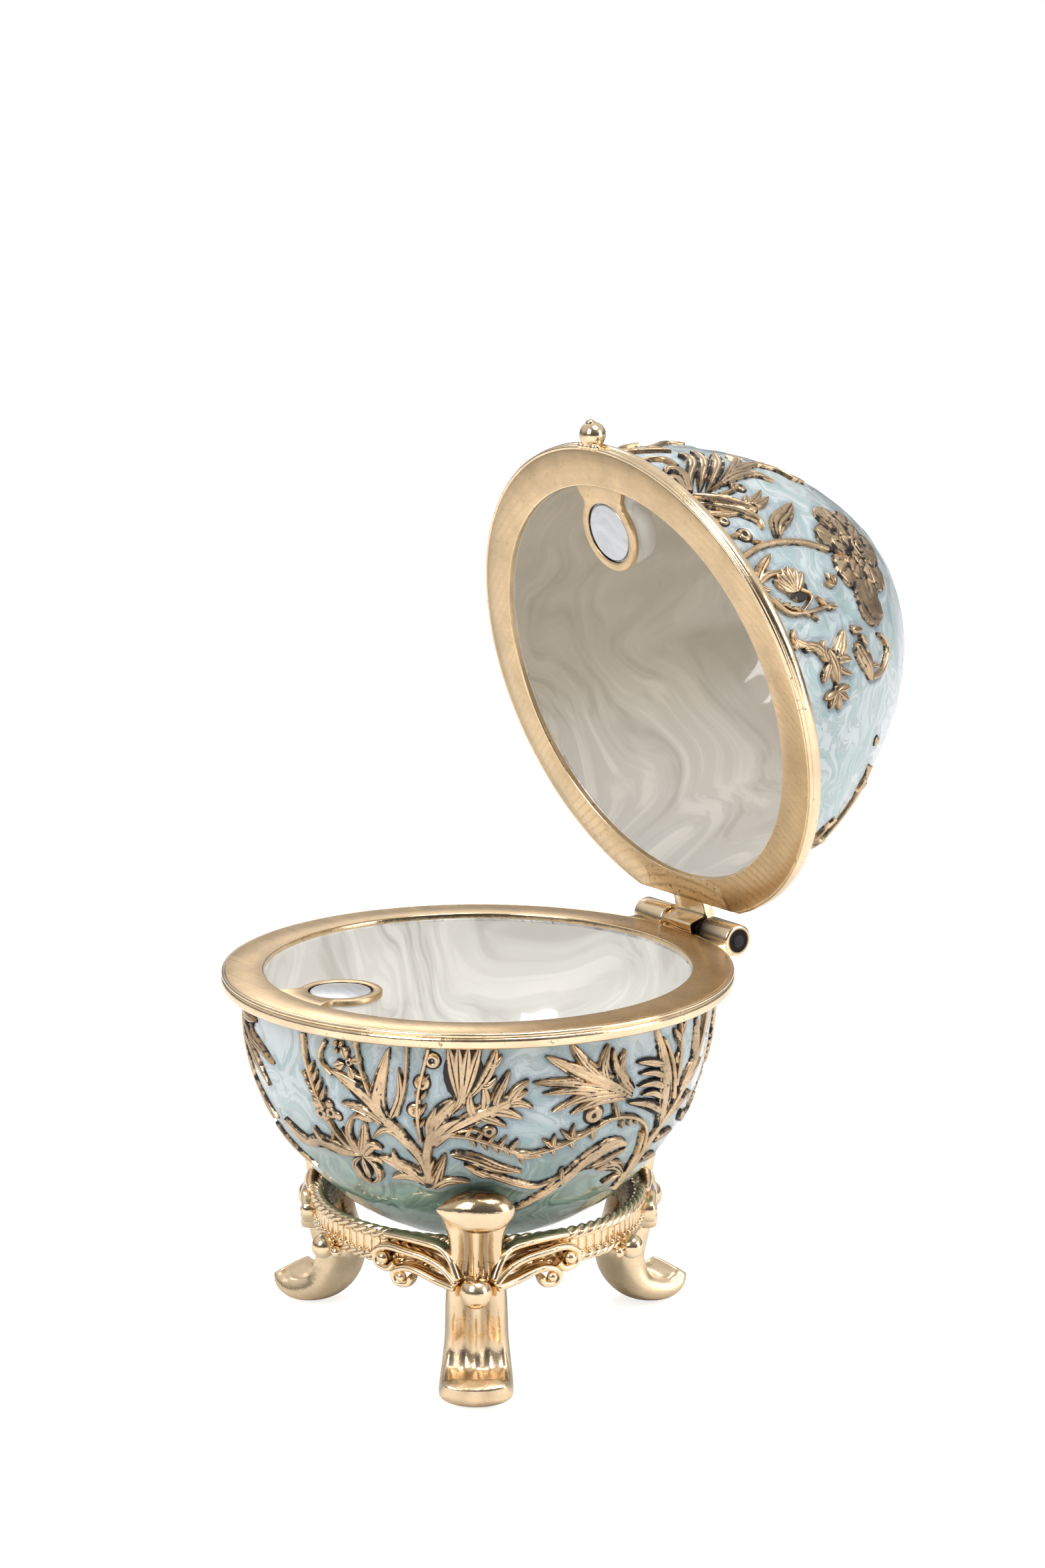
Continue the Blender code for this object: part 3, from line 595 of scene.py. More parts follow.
def thistle_spray(relief):
    """The tall spray: a forked trunk, a calyx at the rim, toothed leaves and berries."""
    draw = relief.blade
    # The left arm of the trunk, with the long leaf and the tall leaf it ends in.
    draw([(-48.7, 13.8), (-49.6, 11.2), (-53.0, 9.1), (-58.5, 6.6)], 1.4, peak=0.8, end=0.85,
         rib=0.2)
    draw([(-56.0, 7.9), (-61.5, 5.5), (-66.5, 4.2), (-72.0, 3.2)], 2.0, rib=0.25, end=0.5)
    draw([(-57.5, 7.5), (-63.5, 6.3), (-70.0, 6.0)], 1.3, rib=0.4)
    draw([(-61.0, 7.2), (-64.5, 7.0), (-67.0, 7.2)], 0.8, rib=0.0)
    draw([(-57.0, 7.9), (-59.8, 5.6), (-58.8, 3.6), (-56.0, 0.6)], 1.8, peak=0.42, rib=0.3)
    draw([(-56.6, 6.8), (-53.8, 4.7), (-53.8, 2.2)], 0.9, rib=0.7)
    draw([(-51.0, 10.2), (-54.5, 8.5), (-58.5, 7.9), (-62.6, 9.0)], 1.1, rib=0.6)
    # The toothed leaf left of the root.
    draw([(-49.2, 13.6), (-54.5, 11.9), (-61.8, 10.8)], 1.8, peak=0.4, rib=0.4)
    draw([(-51.0, 12.9), (-55.5, 12.7), (-60.0, 13.2)], 1.1, rib=0.3)
    draw([(-53.0, 12.3), (-57.0, 11.2), (-57.6, 10.0)], 0.8, rib=0.0)
    # The right arm, and the clump of fingers where it forks.
    draw([(-48.4, 13.8), (-48.8, 11.0), (-47.6, 9.0), (-45.0, 7.2)], 1.15, peak=0.75, end=0.8,
         rib=0.2)
    draw([(-47.8, 9.6), (-45.6, 7.0), (-42.8, 5.5), (-40.4, 4.7)], 1.9, peak=0.45, rib=0.35)
    draw([(-46.8, 8.7), (-43.4, 7.2), (-39.4, 6.4)], 1.0, rib=0.0, edge=0.8)
    draw([(-47.0, 9.3), (-43.8, 8.2), (-40.4, 7.7)], 1.0, rib=0.0, edge=0.8)
    draw([(-47.4, 8.2), (-46.8, 6.8), (-45.0, 5.4)], 0.9, rib=0.3)
    # The calyx: ribbed sepals that open against the rim, with toothed lips.
    relief.bed(-38.6, 4.6, 180, 4.4, 3.2)
    draw([(-41.6, 5.8), (-39.6, 4.8), (-38.8, 3.0)], 1.3, peak=0.5, end=0.6)
    for foot, head in ((-39.6, -42.0), (-39.4, -39.8), (-39.0, -37.4), (-38.8, -34.8)):
        draw([(foot, 5.0), (0.55 * foot + 0.45 * head, 2.8), (head, 0.1)], 1.0, peak=0.6, rib=0.8)
    draw([(-38.6, 4.9), (-35.0, 3.5), (-32.4, 1.9), (-31.0, 0.3)], 1.1, peak=0.6, rib=0.8)
    draw([(-35.0, 3.4), (-32.8, 3.4), (-31.0, 2.7)], 0.8)
    draw([(-33.2, 1.7), (-31.2, 1.6), (-29.8, 0.9)], 0.7)
    # The right arm's leaf, cut into long fingers.
    draw([(-46.0, 8.4), (-40.0, 7.1), (-34.5, 5.9), (-29.5, 5.1), (-23.6, 4.0)], 1.9,
         peak=0.55, end=0.35, rib=0.3)
    for root, middle, tip, width in (
            ((-36.0, 6.3), (-37.2, 5.2), (-37.0, 3.9), 0.9),
            ((-33.8, 5.9), (-33.4, 4.6), (-34.0, 3.4), 1.0),
            ((-31.6, 5.6), (-30.4, 4.1), (-28.0, 2.2), 1.3),
            ((-28.4, 5.2), (-26.2, 3.9), (-23.4, 3.1), 1.0),
            ((-32.0, 5.7), (-28.5, 5.9), (-24.6, 6.5), 1.1),
            ((-34.8, 6.2), (-31.6, 6.6), (-28.4, 7.2), 0.9),
            ((-28.0, 5.1), (-25.2, 5.1), (-22.2, 5.6), 0.8)):
        draw([root, middle, tip], width, rib=0.4)
    relief.bead(-32.6, 7.7, 0.62, dimple=0.5)
    relief.stem([(-40.0, 7.6), (-36.6, 7.4), (-33.8, 7.7)], 0.26)
    # Right of the root.
    draw([(-48.3, 13.8), (-46.0, 11.9), (-43.6, 10.0)], 1.3, rib=0.5)
    draw([(-48.9, 13.5), (-48.4, 11.9), (-46.6, 10.6)], 0.7, rib=0.0)
    draw([(-47.8, 13.9), (-43.5, 13.0), (-37.6, 13.0)], 1.0, rib=0.4)
    # Berries and thin stems between the arms.
    for longitude, arc in ((-48.4, 3.4), (-50.4, 5.9), (-45.8, 1.4)):
        relief.bead(longitude, arc, 0.68, dimple=0.55)
    relief.stem([(-49.6, 8.8), (-49.6, 5.0), (-46.6, 0.4)], 0.3, taper=0.1)
    for step in range(4):
        relief.leaflet(-49.6 + 0.4 * step, 7.8 - 1.3 * step, 205, 1.1, 0.4)
        relief.leaflet(-49.4 + 0.4 * step, 7.4 - 1.3 * step, 150, 1.0, 0.4)
    relief.stem([(-55.0, 6.4), (-52.4, 3.6), (-51.6, 0.2)], 0.34, taper=0.3)
    relief.stem([(-61.6, 4.8), (-63.6, 2.4), (-64.6, 0.3)], 0.3, taper=0.2)


def tendril(relief):
    """A thin trailing stem with paired leaflets, a bud above it, and a hooked end."""
    relief.stem([(-42, 8.0), (-37, 8.2), (-32, 8.9), (-27, 9.6), (-23, 10.1), (-16, 9.7),
                 (-11, 9.1)], 0.36, taper=0.1)
    for step in range(5):
        relief.leaflet(-38.5 + 2.8 * step, 8.2 + 0.34 * step, 150, 1.2, 0.5)
        relief.leaflet(-37.2 + 2.8 * step, 8.3 + 0.34 * step, 28, 1.0, 0.45)
    relief.leaf(-26.0, 9.9, 70, 2.4, 1.0, bend=20)
    relief.leaflet(-24.4, 10.1, 12, 1.1, 0.5)
    for longitude, arc, size in ((-16.2, 9.6, 1.0), (-11.4, 9.0, 1.15)):
        for heading in (176, 226, 120, 14):
            reach = size * (1.25 if heading > 170 else 0.9)
            relief.leaflet(longitude, arc, heading, reach, 0.5)
    relief.stem([(-11, 9.1), (-5, 8.2), (0, 7.6), (7, 8.0), (13, 9.5), (16, 12.0), (16, 14.5)],
                0.42, taper=0.3)
    relief.bead(-6.0, 6.9, 0.86, dimple=0.45)
    relief.leaf(-5.6, 7.8, 4, 1.6, 0.7)
    relief.leaflet(-6.6, 8.0, 40, 1.0, 0.4)
    relief.leaf(1.4, 7.8, 196, 2.2, 0.6, bend=14)
    for longitude in (3.0, 5.4, 8.0):
        relief.leaflet(longitude, 7.9, 8, 0.9, 0.34)
    relief.stem([(12.4, 9.9), (14.0, 12.2), (13.4, 14.8)], 0.3, taper=0.2)


def sword_leaf(relief):
    """The long blade low on the right, with thin curled leaves above it."""
    draw = relief.blade
    draw([(-36, 19.4), (-25, 17.2), (-16.5, 15.3), (-10, 13.1), (-4, 11.2), (1.5, 10.3),
          (7.5, 10.7)], 2.0, peak=0.7, rib=0.2, end=0.4, rows=30)
    relief.leaf(-6.0, 12.4, 92, 4.4, 0.9, bend=30)
    relief.leaf(-11.0, 13.6, 200, 1.6, 0.6, bend=-20)
    draw([(-35, 11.6), (-28, 12.8), (-19, 13.9), (-11.5, 12.9)], 0.8, peak=0.4, rib=0.2, rows=18)
    draw([(-42.5, 9.9), (-37, 10.3), (-30.5, 11.4), (-23.5, 12.0)], 1.4, peak=0.42,
         rib=0.9, rows=18)
    draw([(-39, 11.0), (-34, 12.2), (-30.0, 12.4)], 0.7, peak=0.4, rib=0.3)
    draw([(12.4, 14.5), (6.0, 13.0), (-0.8, 12.9)], 1.5, peak=0.5, rib=0.7)
    draw([(5.0, 15.1), (8.5, 14.7), (12.0, 14.4)], 0.6)


def branch_spray(relief):
    """The spreading spray: a long leaning trunk, and leaves cut into fingers on its left."""
    draw = relief.blade
    relief.stem([(14.4, 16.6), (16.4, 12.9), (20.0, 9.9), (25.0, 7.6), (30.0, 5.3), (34.0, 2.6),
                 (36.0, 0.3)], 0.75, taper=0.3)
    # The upright leaf beside the trunk, with short fingers down its left.
    draw([(19.8, 10.4), (18.4, 8.0), (16.8, 5.8), (14.8, 3.6), (11.0, 0.3)], 2.1, peak=0.45,
         rib=0.3, end=0.3)
    for root, middle, tip, width in (
            ((15.0, 3.8), (9.5, 3.2), (5.2, 2.9), 0.9),
            ((15.6, 4.9), (11.0, 4.2), (6.4, 4.0), 0.8),
            ((16.2, 5.9), (11.6, 5.2), (6.4, 5.1), 0.9),
            ((16.6, 6.9), (12.0, 6.1), (8.0, 6.0), 0.8),
            ((18.0, 8.4), (11.6, 7.2), (3.8, 6.4), 1.3)):
        draw([root, middle, tip], width, rib=0.2, edge=0.8)
    # The spreading leaf.
    draw([(4.4, 5.8), (-1.0, 4.7), (-7.0, 3.6), (-13.0, 2.5), (-19.5, 1.2)], 2.2, peak=0.35,
         end=0.3, rib=0.35)
    for root, middle, tip, width in (
            ((-3.5, 4.1), (-9.5, 2.2), (-13.4, 0.3), 1.4),
            ((-2.5, 4.7), (-13.5, 3.7), (-22.5, 3.4), 1.3),
            ((-5.0, 4.9), (-12.0, 4.4), (-20.0, 4.4), 0.9),
            ((0.4, 5.3), (-9.5, 5.1), (-17.4, 6.1), 1.1),
            ((3.4, 5.7), (-5.5, 5.6), (-12.6, 6.5), 1.2),
            ((-3.0, 4.4), (-4.8, 2.7), (-3.6, 0.8), 1.4)):
        draw([root, middle, tip], width, rib=0.5)
    # The curled leaf between them.
    draw([(4.8, 5.4), (0.2, 3.5), (1.2, 1.5)], 1.4, rib=0.4)
    draw([(2.8, 4.4), (-1.2, 2.9), (-2.2, 1.2)], 0.9, rib=0.0)
    # Berried stems at the rim, and leaves right of the trunk.
    relief.stem([(22.4, 7.4), (18.4, 3.9), (14.0, 1.5)], 0.4, taper=0.3)
    relief.bead(21.4, 3.7, 0.62, dimple=0.5)
    relief.stem([(22.0, 6.2), (21.4, 3.4), (20.4, 0.6)], 0.3)
    relief.leaf(20.8, 2.2, 216, 1.5, 0.7)
    relief.leaf(20.6, 1.8, 150, 1.4, 0.7)
    relief.leaf(24.0, 7.2, 150, 4.6, 1.1, bend=-20)
    relief.leaf(26.0, 6.8, 112, 3.6, 1.0, bend=20)
    relief.leaf(30.0, 5.0, 178, 4.2, 1.2, bend=14)
    relief.leaf(22.0, 9.2, 118, 4.0, 1.2, bend=-16)
    relief.leaf(19.6, 11.6, 104, 3.6, 1.0, bend=-20)
    relief.leaf(17.4, 13.6, 96, 3.4, 0.9, bend=-20)


def trailing_sprig(relief):
    """The sprig at the left: leaflets in pairs, berries, and a hanging blossom."""
    draw = relief.blade
    relief.stem([(-80.4, 0.6), (-79.9, 2.6), (-79.0, 3.8), (-77.8, 5.4), (-76.0, 7.0)], 0.36,
                taper=0.0)
    for step in range(4):
        relief.leaflet(-79.0 + 0.85 * step, 3.9 + 0.78 * step, 153, 1.2 + 0.1 * step, 0.55)
        relief.leaflet(-79.5 + 0.8 * step, 4.5 + 0.68 * step, 232, 0.9, 0.45)
    for longitude, arc in ((-74.4, 6.5), (-72.3, 7.5), (-78.8, 6.8), (-76.2, 8.0)):
        relief.bead(longitude, arc, 0.45)
    for longitude, arc in ((-77.8, 7.6), (-74.2, 7.3)):
        relief.bead(longitude, arc, 0.58, dimple=0.6)
    relief.stem([(-75.4, 8.0), (-73.8, 9.1), (-71.0, 10.2), (-67.2, 10.8)], 0.42, taper=0.0)
    relief.leaflet(-74.6, 9.0, 340, 1.1, 0.5)
    # The blossom's fingers, and the ringed bud that hangs from it.
    draw([(-67.2, 11.0), (-69.6, 9.4), (-68.8, 7.9), (-65.6, 6.6)], 0.8)
    draw([(-67.0, 11.0), (-69.4, 10.1), (-71.6, 8.5)], 0.5, rib=0.0)
    draw([(-67.0, 11.0), (-65.4, 9.4), (-64.0, 7.5)], 1.4, rib=0.6)
    draw([(-66.8, 11.0), (-63.4, 9.8), (-60.4, 10.0)], 1.2, rib=0.5)
    draw([(-66.4, 11.2), (-63.0, 11.1), (-61.4, 11.6)], 0.8)
    draw([(-67.0, 11.0), (-70.6, 12.0), (-70.8, 13.4), (-67.8, 14.3)], 0.75, peak=0.5, end=0.4)
    draw([(-66.8, 11.0), (-64.0, 12.0), (-64.2, 13.4), (-67.4, 14.3)], 0.75, peak=0.5, end=0.4)
    draw([(-67.2, 11.0), (-67.4, 13.6)], 0.9, peak=0.6, edge=0.9)
    # The pair of leaves that reach it from the left.
    draw([(-96.5, 9.7), (-92.0, 10.6), (-87.0, 11.2), (-82.0, 11.1)], 1.1, peak=0.4, rib=0.2)
    draw([(-88.0, 11.2), (-80.5, 10.6), (-74.0, 10.9), (-67.6, 11.0)], 1.9, peak=0.45, rib=0.2)
    draw([(-79.0, 10.8), (-81.0, 10.1), (-82.0, 9.2)], 0.8, rib=0.0)


def upper_blossom(relief):
    """A small blossom high on the left of the tall spray, and a short looping stem."""
    relief.stem([(-71.8, 3.6), (-74.2, 2.9), (-75.0, 2.0), (-73.2, 0.8)], 0.36, taper=0.1)
    relief.blossom(-66.8, 2.3, 1.3, petals=4, heading=20)
    relief.blossom(-69.2, 1.1, 0.6, petals=4, heading=50)
    relief.leaf(-65.0, 1.0, 160, 1.0, 0.5)
    relief.leaf(-65.4, 3.2, 60, 1.2, 0.45, bend=40)


def left_edge_leaves(relief):
    """Leaves that reach in from the far left, under the rim and lower down."""
    draw = relief.blade
    draw([(-114, 1.6), (-106, 3.1), (-100, 3.6), (-94.0, 4.4)], 1.5, rib=0.6, end=0.3)
    draw([(-114, 2.8), (-108, 4.4), (-103, 5.6), (-99.0, 6.8)], 1.2, rib=0.6)
    draw([(-113, 1.4), (-107, 1.5), (-102, 1.3)], 1.0, rib=0.3)
    relief.bead(-107.0, 2.4, 0.55, dimple=0.6)
    relief.stem([(-120, 12.0), (-117, 7.0), (-114, 2.4), (-111, 0.3)], 0.5)
    draw([(-115, 7.4), (-109, 8.8), (-103, 10.4)], 0.9)
    draw([(-110, 11.4), (-100, 13.1), (-91.0, 14.3)], 0.8, rib=0.3)
    relief.leaf(-114, 5.0, 220, 2.4, 0.9)


def rose_branch(relief):
    """A rose on a curved stem with a pointed leaf, and a tulip beside it."""
    draw = relief.blade
    relief.stem([(-39.8, 0.4), (-40.8, 3.0), (-40.0, 5.6), (-38.0, 8.1), (-34.5, 10.4)], 0.5,
                taper=0.2)
    draw([(-40.8, 5.2), (-45.0, 6.4), (-47.6, 8.4), (-50.6, 10.2)], 2.1, peak=0.5, rib=0.9)
    relief.leaflet(-41.0, 3.4, 214, 1.1, 0.4)
    draw([(-23.0, 13.2), (-18.4, 12.9), (-14.6, 13.4), (-11.0, 14.6)], 5.4, peak=0.5, rib=0.3,
         edge=0.4, end=0.8, rows=20)
    relief.rose(-32.4, 14.6)
    for heading in (200, 262, 320):
        relief.leaflet(-25.0, 8.6, heading, 1.2, 0.6)
    relief.bed(-29.0, 2.8, 20, 2.4, 2.2)
    for swing in (-52, -30, -8, 14, 38, 60):
        relief.leaf(-27.2, 3.6, 270 + swing, 2.3, 1.1, bend=-0.3 * swing, peak=0.5, rib=0.5)
    relief.stem([(-27.4, 4.2), (-25.4, 5.0), (-23.8, 4.6), (-22.4, 3.2)], 0.32)
    relief.stem([(-30.0, 0.5), (-26.0, 1.2), (-23.2, 2.0), (-21.8, 3.6), (-21.2, 5.2),
                 (-20.8, 7.2)], 0.34, taper=0.2)
    for step in range(5):
        relief.leaflet(-28.6 + 1.7 * step, 0.9 + 0.75 * step, 190, 1.0, 0.45)
        relief.leaflet(-27.8 + 1.7 * step, 1.0 + 0.8 * step, 60, 0.9, 0.4)
    relief.leaf(-21.0, 6.4, 236, 1.3, 0.6)
    relief.leaf(-21.0, 6.2, 20, 1.5, 0.6)
    relief.bead(-45.0, 2.3, 0.68, dimple=0.55)
    relief.leaf(-45.4, 2.0, 190, 1.2, 0.5)
    relief.bead(-50.4, 1.5, 0.5, dimple=0.5)
    relief.leaflet(-50.4, 1.0, 200, 0.9, 0.5)
    # The leaf that springs from the rim beside the stem.
    draw([(-32.6, 0.2), (-35.4, 1.5), (-38.0, 3.3)], 1.3, rib=0.7)
    draw([(-32.4, 0.2), (-33.6, 1.8), (-32.8, 3.4)], 0.8, rib=0.4)
    draw([(-32.8, 0.1), (-30.8, 0.7), (-29.8, 1.2)], 0.7)


def palmette(relief):
    """Broad curled plumes that spring from the rim, with a pod and buds."""
    draw = relief.blade
    # The tall plume: three strips that rise side by side and roll over together.
    for places in ([(-61.5, 1.2), (-66.8, 2.6), (-71.5, 4.5), (-76.0, 5.3), (-78.6, 4.9)],
                   [(-60.4, 1.7), (-65.3, 3.5), (-71.0, 5.6), (-76.5, 6.6), (-79.8, 6.6)],
                   [(-59.6, 2.2), (-63.8, 4.3), (-69.6, 6.8), (-74.6, 8.0), (-77.6, 8.6)]):
        draw(places, 1.45, peak=0.55, rib=0.4, edge=0.8, rows=22)
    # The curl left of it.
    draw([(-61.8, 1.0), (-66.6, 2.1), (-70.2, 2.5), (-72.2, 1.9), (-70.6, 1.1)], 1.2, peak=0.6,
         rib=0.3, edge=0.8, end=0.6, rows=20)
    draw([(-60.8, 0.6), (-64.6, 1.1), (-67.6, 1.4), (-69.2, 0.9)], 0.9, peak=0.6, rib=0.3,
         edge=0.8, end=0.6, rows=14)
    relief.stem([(-72.0, 2.8), (-76.4, 3.0), (-79.0, 2.2), (-79.6, 1.0)], 0.44, taper=0.5)
    # The forked plume that leans the other way.
    draw([(-60.0, 2.6), (-62.0, 4.9), (-67.0, 7.8), (-73.0, 10.2), (-76.0, 9.6)], 1.25,
         peak=0.6, rib=0.6, rows=20)
    draw([(-65.0, 6.8), (-68.6, 9.6), (-72.4, 13.4)], 1.1, rib=0.5)
    draw([(-61.4, 4.6), (-64.0, 7.4), (-64.4, 9.6), (-60.6, 11.0)], 1.1, rib=0.7)
    # The two long leaves low on the right.
    draw([(-60.6, 0.8), (-57.2, 2.6), (-54.0, 4.2), (-50.8, 5.4)], 1.4, peak=0.45, rib=1.0)
    draw([(-57.8, 0.4), (-54.0, 2.4), (-51.4, 3.7), (-47.6, 4.7), (-44.8, 4.5)], 1.3,
         peak=0.45, rib=0.7, rows=20)
    draw([(-54.4, 0.2), (-52.2, 1.8), (-50.8, 3.4)], 0.6)
    relief.stem([(-58.0, 3.2), (-58.2, 4.8), (-59.0, 5.8)], 0.3)
    relief.bead(-59.2, 6.2, 0.55, dimple=0.3)
    relief.leaflet(-58.4, 5.0, 300, 1.0, 0.4)
    for place, tip in (((-52.6, 5.2), (-56.6, 7.9)), ((-51.8, 5.5), (-53.8, 8.0)),
                       ((-52.8, 4.9), (-55.6, 5.6))):
        middle = ((place[0] + tip[0]) / 2 + 0.4, (place[1] + tip[1]) / 2)
        draw([place, middle, tip], 1.0, rib=0.5)
    relief.bead(-51.4, 5.2, 0.5, dimple=0.5)
    relief.stem([(-71.0, 11.6), (-69.0, 13.8), (-64.0, 14.8)], 0.5)
    relief.leaf(-66.0, 14.4, 20, 2.2, 0.6)
    relief.leaf(-87.6, 1.6, 22, 4.0, 0.5, bend=20)


def iris(relief):
    """A flag iris with its buds, and a pod on a tendril above it."""
    draw = relief.blade
    draw([(-11.4, 4.4), (-8.4, 4.7), (-5.6, 4.7), (-2.8, 4.3)], 2.1, peak=0.45, rib=0.3, end=0.3)
    draw([(-7.6, 5.0), (-10.4, 6.2), (-13.8, 7.2)], 1.8, rib=0.6)
    draw([(-9.0, 4.0), (-11.4, 3.8), (-14.0, 4.3)], 1.1, rib=0.4)
    draw([(-8.4, 4.8), (-7.6, 6.0), (-6.0, 7.0)], 1.2, rib=0.5)
    draw([(-8.0, 4.2), (-6.0, 3.2), (-4.6, 2.9)], 1.0, rib=0.3)
    draw([(-6.0, 5.0), (-4.2, 5.8), (-2.6, 6.6)], 0.7)
    draw([(-10.6, 3.8), (-13.4, 3.2), (-15.8, 1.4)], 1.1, rib=0.4)
    draw([(-14.2, 2.6), (-16.8, 1.3), (-19.6, 1.5)], 0.8, rib=0.3)
    relief.leaf(-14.2, 1.8, 20, 1.1, 0.6)
    relief.leaflet(-15.0, 0.8, 320, 0.9, 0.5)
    for heading in (96, 140, 48, 10, 176):
        relief.leaf(-1.2, 4.2, heading, 1.7, 0.8, peak=0.55, rib=0.5)
    relief.bead(-1.4, 4.3, 0.42, dimple=0.8)
    relief.leaf(-12.6, 8.4, 16, 1.6, 0.9)
    relief.leaf(-10.2, 9.4, 60, 1.3, 0.8)
    draw([(-9.0, 8.3), (-5.0, 9.0), (-1.0, 9.5), (2.6, 9.4)], 2.3, peak=0.4, rib=0.4)
    relief.stem([(2.2, 9.6), (3.2, 11.2), (1.6, 12.8), (-2.0, 13.7), (-7.0, 12.6)], 0.32, taper=0.5)
    relief.leaf(-0.8, 10.0, 20, 1.6, 0.5)


def tendril_loop(relief):
    """A looping tendril with three leaves."""
    relief.stem([(30, 9.4), (36, 8.4), (42, 6.0), (45.6, 3.6), (42.6, 1.8), (39, 2.8), (38.6, 4.6)],
                0.46, taper=0.2)
    relief.leaf(44.5, 3.8, 60, 2.4, 1.0)
    relief.leaf(36, 8.2, 20, 1.8, 0.8)
    relief.leaf(33, 9.0, 150, 1.6, 0.7)
    relief.bead(23, 10.2, 0.45)


# Each half's ornaments: name, maker and how far they are turned about the egg's axis.
DRESS = {
    "bowl": (
        ("thistle", thistle_spray, 0), ("tendril", tendril, 0), ("sword_leaf", sword_leaf, 0),
        ("branch", branch_spray, 0), ("sprig", trailing_sprig, 0),
        ("blossom", upper_blossom, 0), ("edge_leaves", left_edge_leaves, 0),
        ("back_thistle", thistle_spray, 166), ("back_tendril", tendril, 166),
        ("back_sword_leaf", sword_leaf, 166), ("back_sprig", trailing_sprig, 128),
        ("side_branch", branch_spray, 166), ("side_sprig", trailing_sprig, 166),
    ),
    "lid": (
        ("rose", rose_branch, 0), ("palmette", palmette, 0), ("iris", iris, 0),
        ("loop", tendril_loop, 0), ("back_rose", rose_branch, 166),
        ("back_palmette", palmette, 166), ("back_iris", iris, 166), ("side_iris", iris, 84),
        ("back_loop", tendril_loop, 228),
    ),
}


# ---------------------------------------------------------------- materials

class Nodes:
    """A short hand for building a node tree."""

    def __init__(self, tree):
        self.tree = tree

    def fill(self, node, values):
        """Links a node's inputs to sockets, or sets them to numbers, colours and vectors."""
        for key, value in values.items():
            socket = node.inputs[key]
            if isinstance(value, bpy.types.NodeSocket):
                self.tree.links.new(value, socket)
            elif isinstance(value, (int, float)):
                socket.default_value = value
            else:
                socket.default_value = (*value, 1.0)[:len(socket.default_value)]

    def add(self, kind, values=(), **options):
        """A node with its options and its inputs; gives its outputs."""
        node = self.tree.nodes.new(kind)
        for key, value in options.items():
            setattr(node, key, value)
        self.fill(node, dict(values))
        return node.outputs

    def math(self, operation, *values, clamp=False):
        return self.add("ShaderNodeMath", enumerate(values), operation=operation,
                        use_clamp=clamp)[0]

    def times(self, first, second, clamp=False):
        return self.math("MULTIPLY", first, second, clamp=clamp)

    def plus(self, first, second):
        return self.math("ADD", first, second)

    def vector(self, operation, *values):
        return self.add("ShaderNodeVectorMath", enumerate(values), operation=operation)

    def split(self, vector):
        return self.add("ShaderNodeSeparateXYZ", {0: vector})

    def mix(self, factor, first, second, blend="MIX"):
        return self.add("ShaderNodeMix", {0: factor, 6: first, 7: second}, data_type="RGBA",
                        blend_type=blend)[2]

    def ramp(self, factor, *stops, smooth=False):
        """A ramp through stops of (place, grey) or (place, colour)."""
        node = self.tree.nodes.new("ShaderNodeValToRGB")
        node.color_ramp.interpolation = "EASE" if smooth else "LINEAR"
        elements = node.color_ramp.elements
        while len(elements) < len(stops):
            elements.new(0.5)
        for element, (place, colour) in zip(elements, stops):
            element.position = place
            element.color = (*(colour if isinstance(colour, tuple) else [colour] * 3), 1.0)
        self.fill(node, {0: factor})
        return node.outputs[0]

    def noise(self, vector, scale, detail=3.0, rough=0.5):
        return self.add("ShaderNodeTexNoise", {"Vector": vector, "Scale": scale,
                                               "Detail": detail, "Roughness": rough})

    def bump(self, height, strength, distance):
        return self.add("ShaderNodeBump", {"Height": height, "Strength": strength,
                                           "Distance": distance})[0]

    def layer(self, name):
        """A float layer of the mesh."""
        return self.add("ShaderNodeAttribute", attribute_name=name)["Fac"]

    def group(self, name, where, **values):
        return self.add("ShaderNodeGroup", {"Vector": where, **values},
                        node_tree=bpy.data.node_groups[name])

    def below_rim(self, where, scale):
        """How far a point lies below the bowl's rim, in units of 1 m / scale."""
        return self.times(self.math("SUBTRACT", RIM_LEVEL, self.split(where)["Z"]), scale)


def new_group(name, setting, start, outs):
    """A node group of a vector and one setting or more; gives its builder and its two ends."""
    group = bpy.data.node_groups.new(name, "ShaderNodeTree")
    group.interface.new_socket(name="Vector", in_out="INPUT", socket_type="NodeSocketVector")
    for label, value in zip(setting, start):
        socket = group.interface.new_socket(name=label, in_out="INPUT",
                                            socket_type="NodeSocketFloat")
        socket.default_value = value
    for label in outs:
        group.interface.new_socket(name=label, in_out="OUTPUT", socket_type="NodeSocketFloat")
    given = group.nodes.new("NodeGroupInput").outputs
    return Nodes(group), given, group.nodes.new("NodeGroupOutput")


def marbling_group():
    """Stirred enamel: broad bands, drawn-out streaks, and thin veins along them."""
    build, given, result = new_group("Marbling", ("Scale", "Stir"), (120.0, 0.01),
                                     ("Bands", "Flow", "Veins"))
    place, scale = given["Vector"], given["Scale"]
    for finer, weaker in ((1.0, 1.0), (2.4, 0.42)):
        swirl = build.noise(place, build.times(scale, finer), detail=0.6)
        away = build.vector("SUBTRACT", swirl["Color"], (0.5, 0.5, 0.5))[0]
        stirred = build.add("ShaderNodeVectorMath",
                            {0: away, "Scale": build.times(given["Stir"], weaker)},
                            operation="SCALE")[0]
        place = build.vector("ADD", place, stirred)[0]
    bands = build.noise(place, scale, detail=1.5)["Fac"]
    drawn = build.add("ShaderNodeMapping", {"Vector": place, "Scale": (1.0, 6.5, 1.5),
                                            "Rotation": (0.6, 0.3, 0.4)})[0]
    flow = build.noise(drawn, build.times(scale, 1.5), detail=3.0, rough=0.55)["Fac"]
    thin = build.math("ABSOLUTE", build.math("SUBTRACT", flow, 0.47))
    veins = build.ramp(thin, (0.0, 1.0), (0.028, 0.0), smooth=True)
    build.fill(result, {"Bands": bands, "Flow": flow, "Veins": veins})


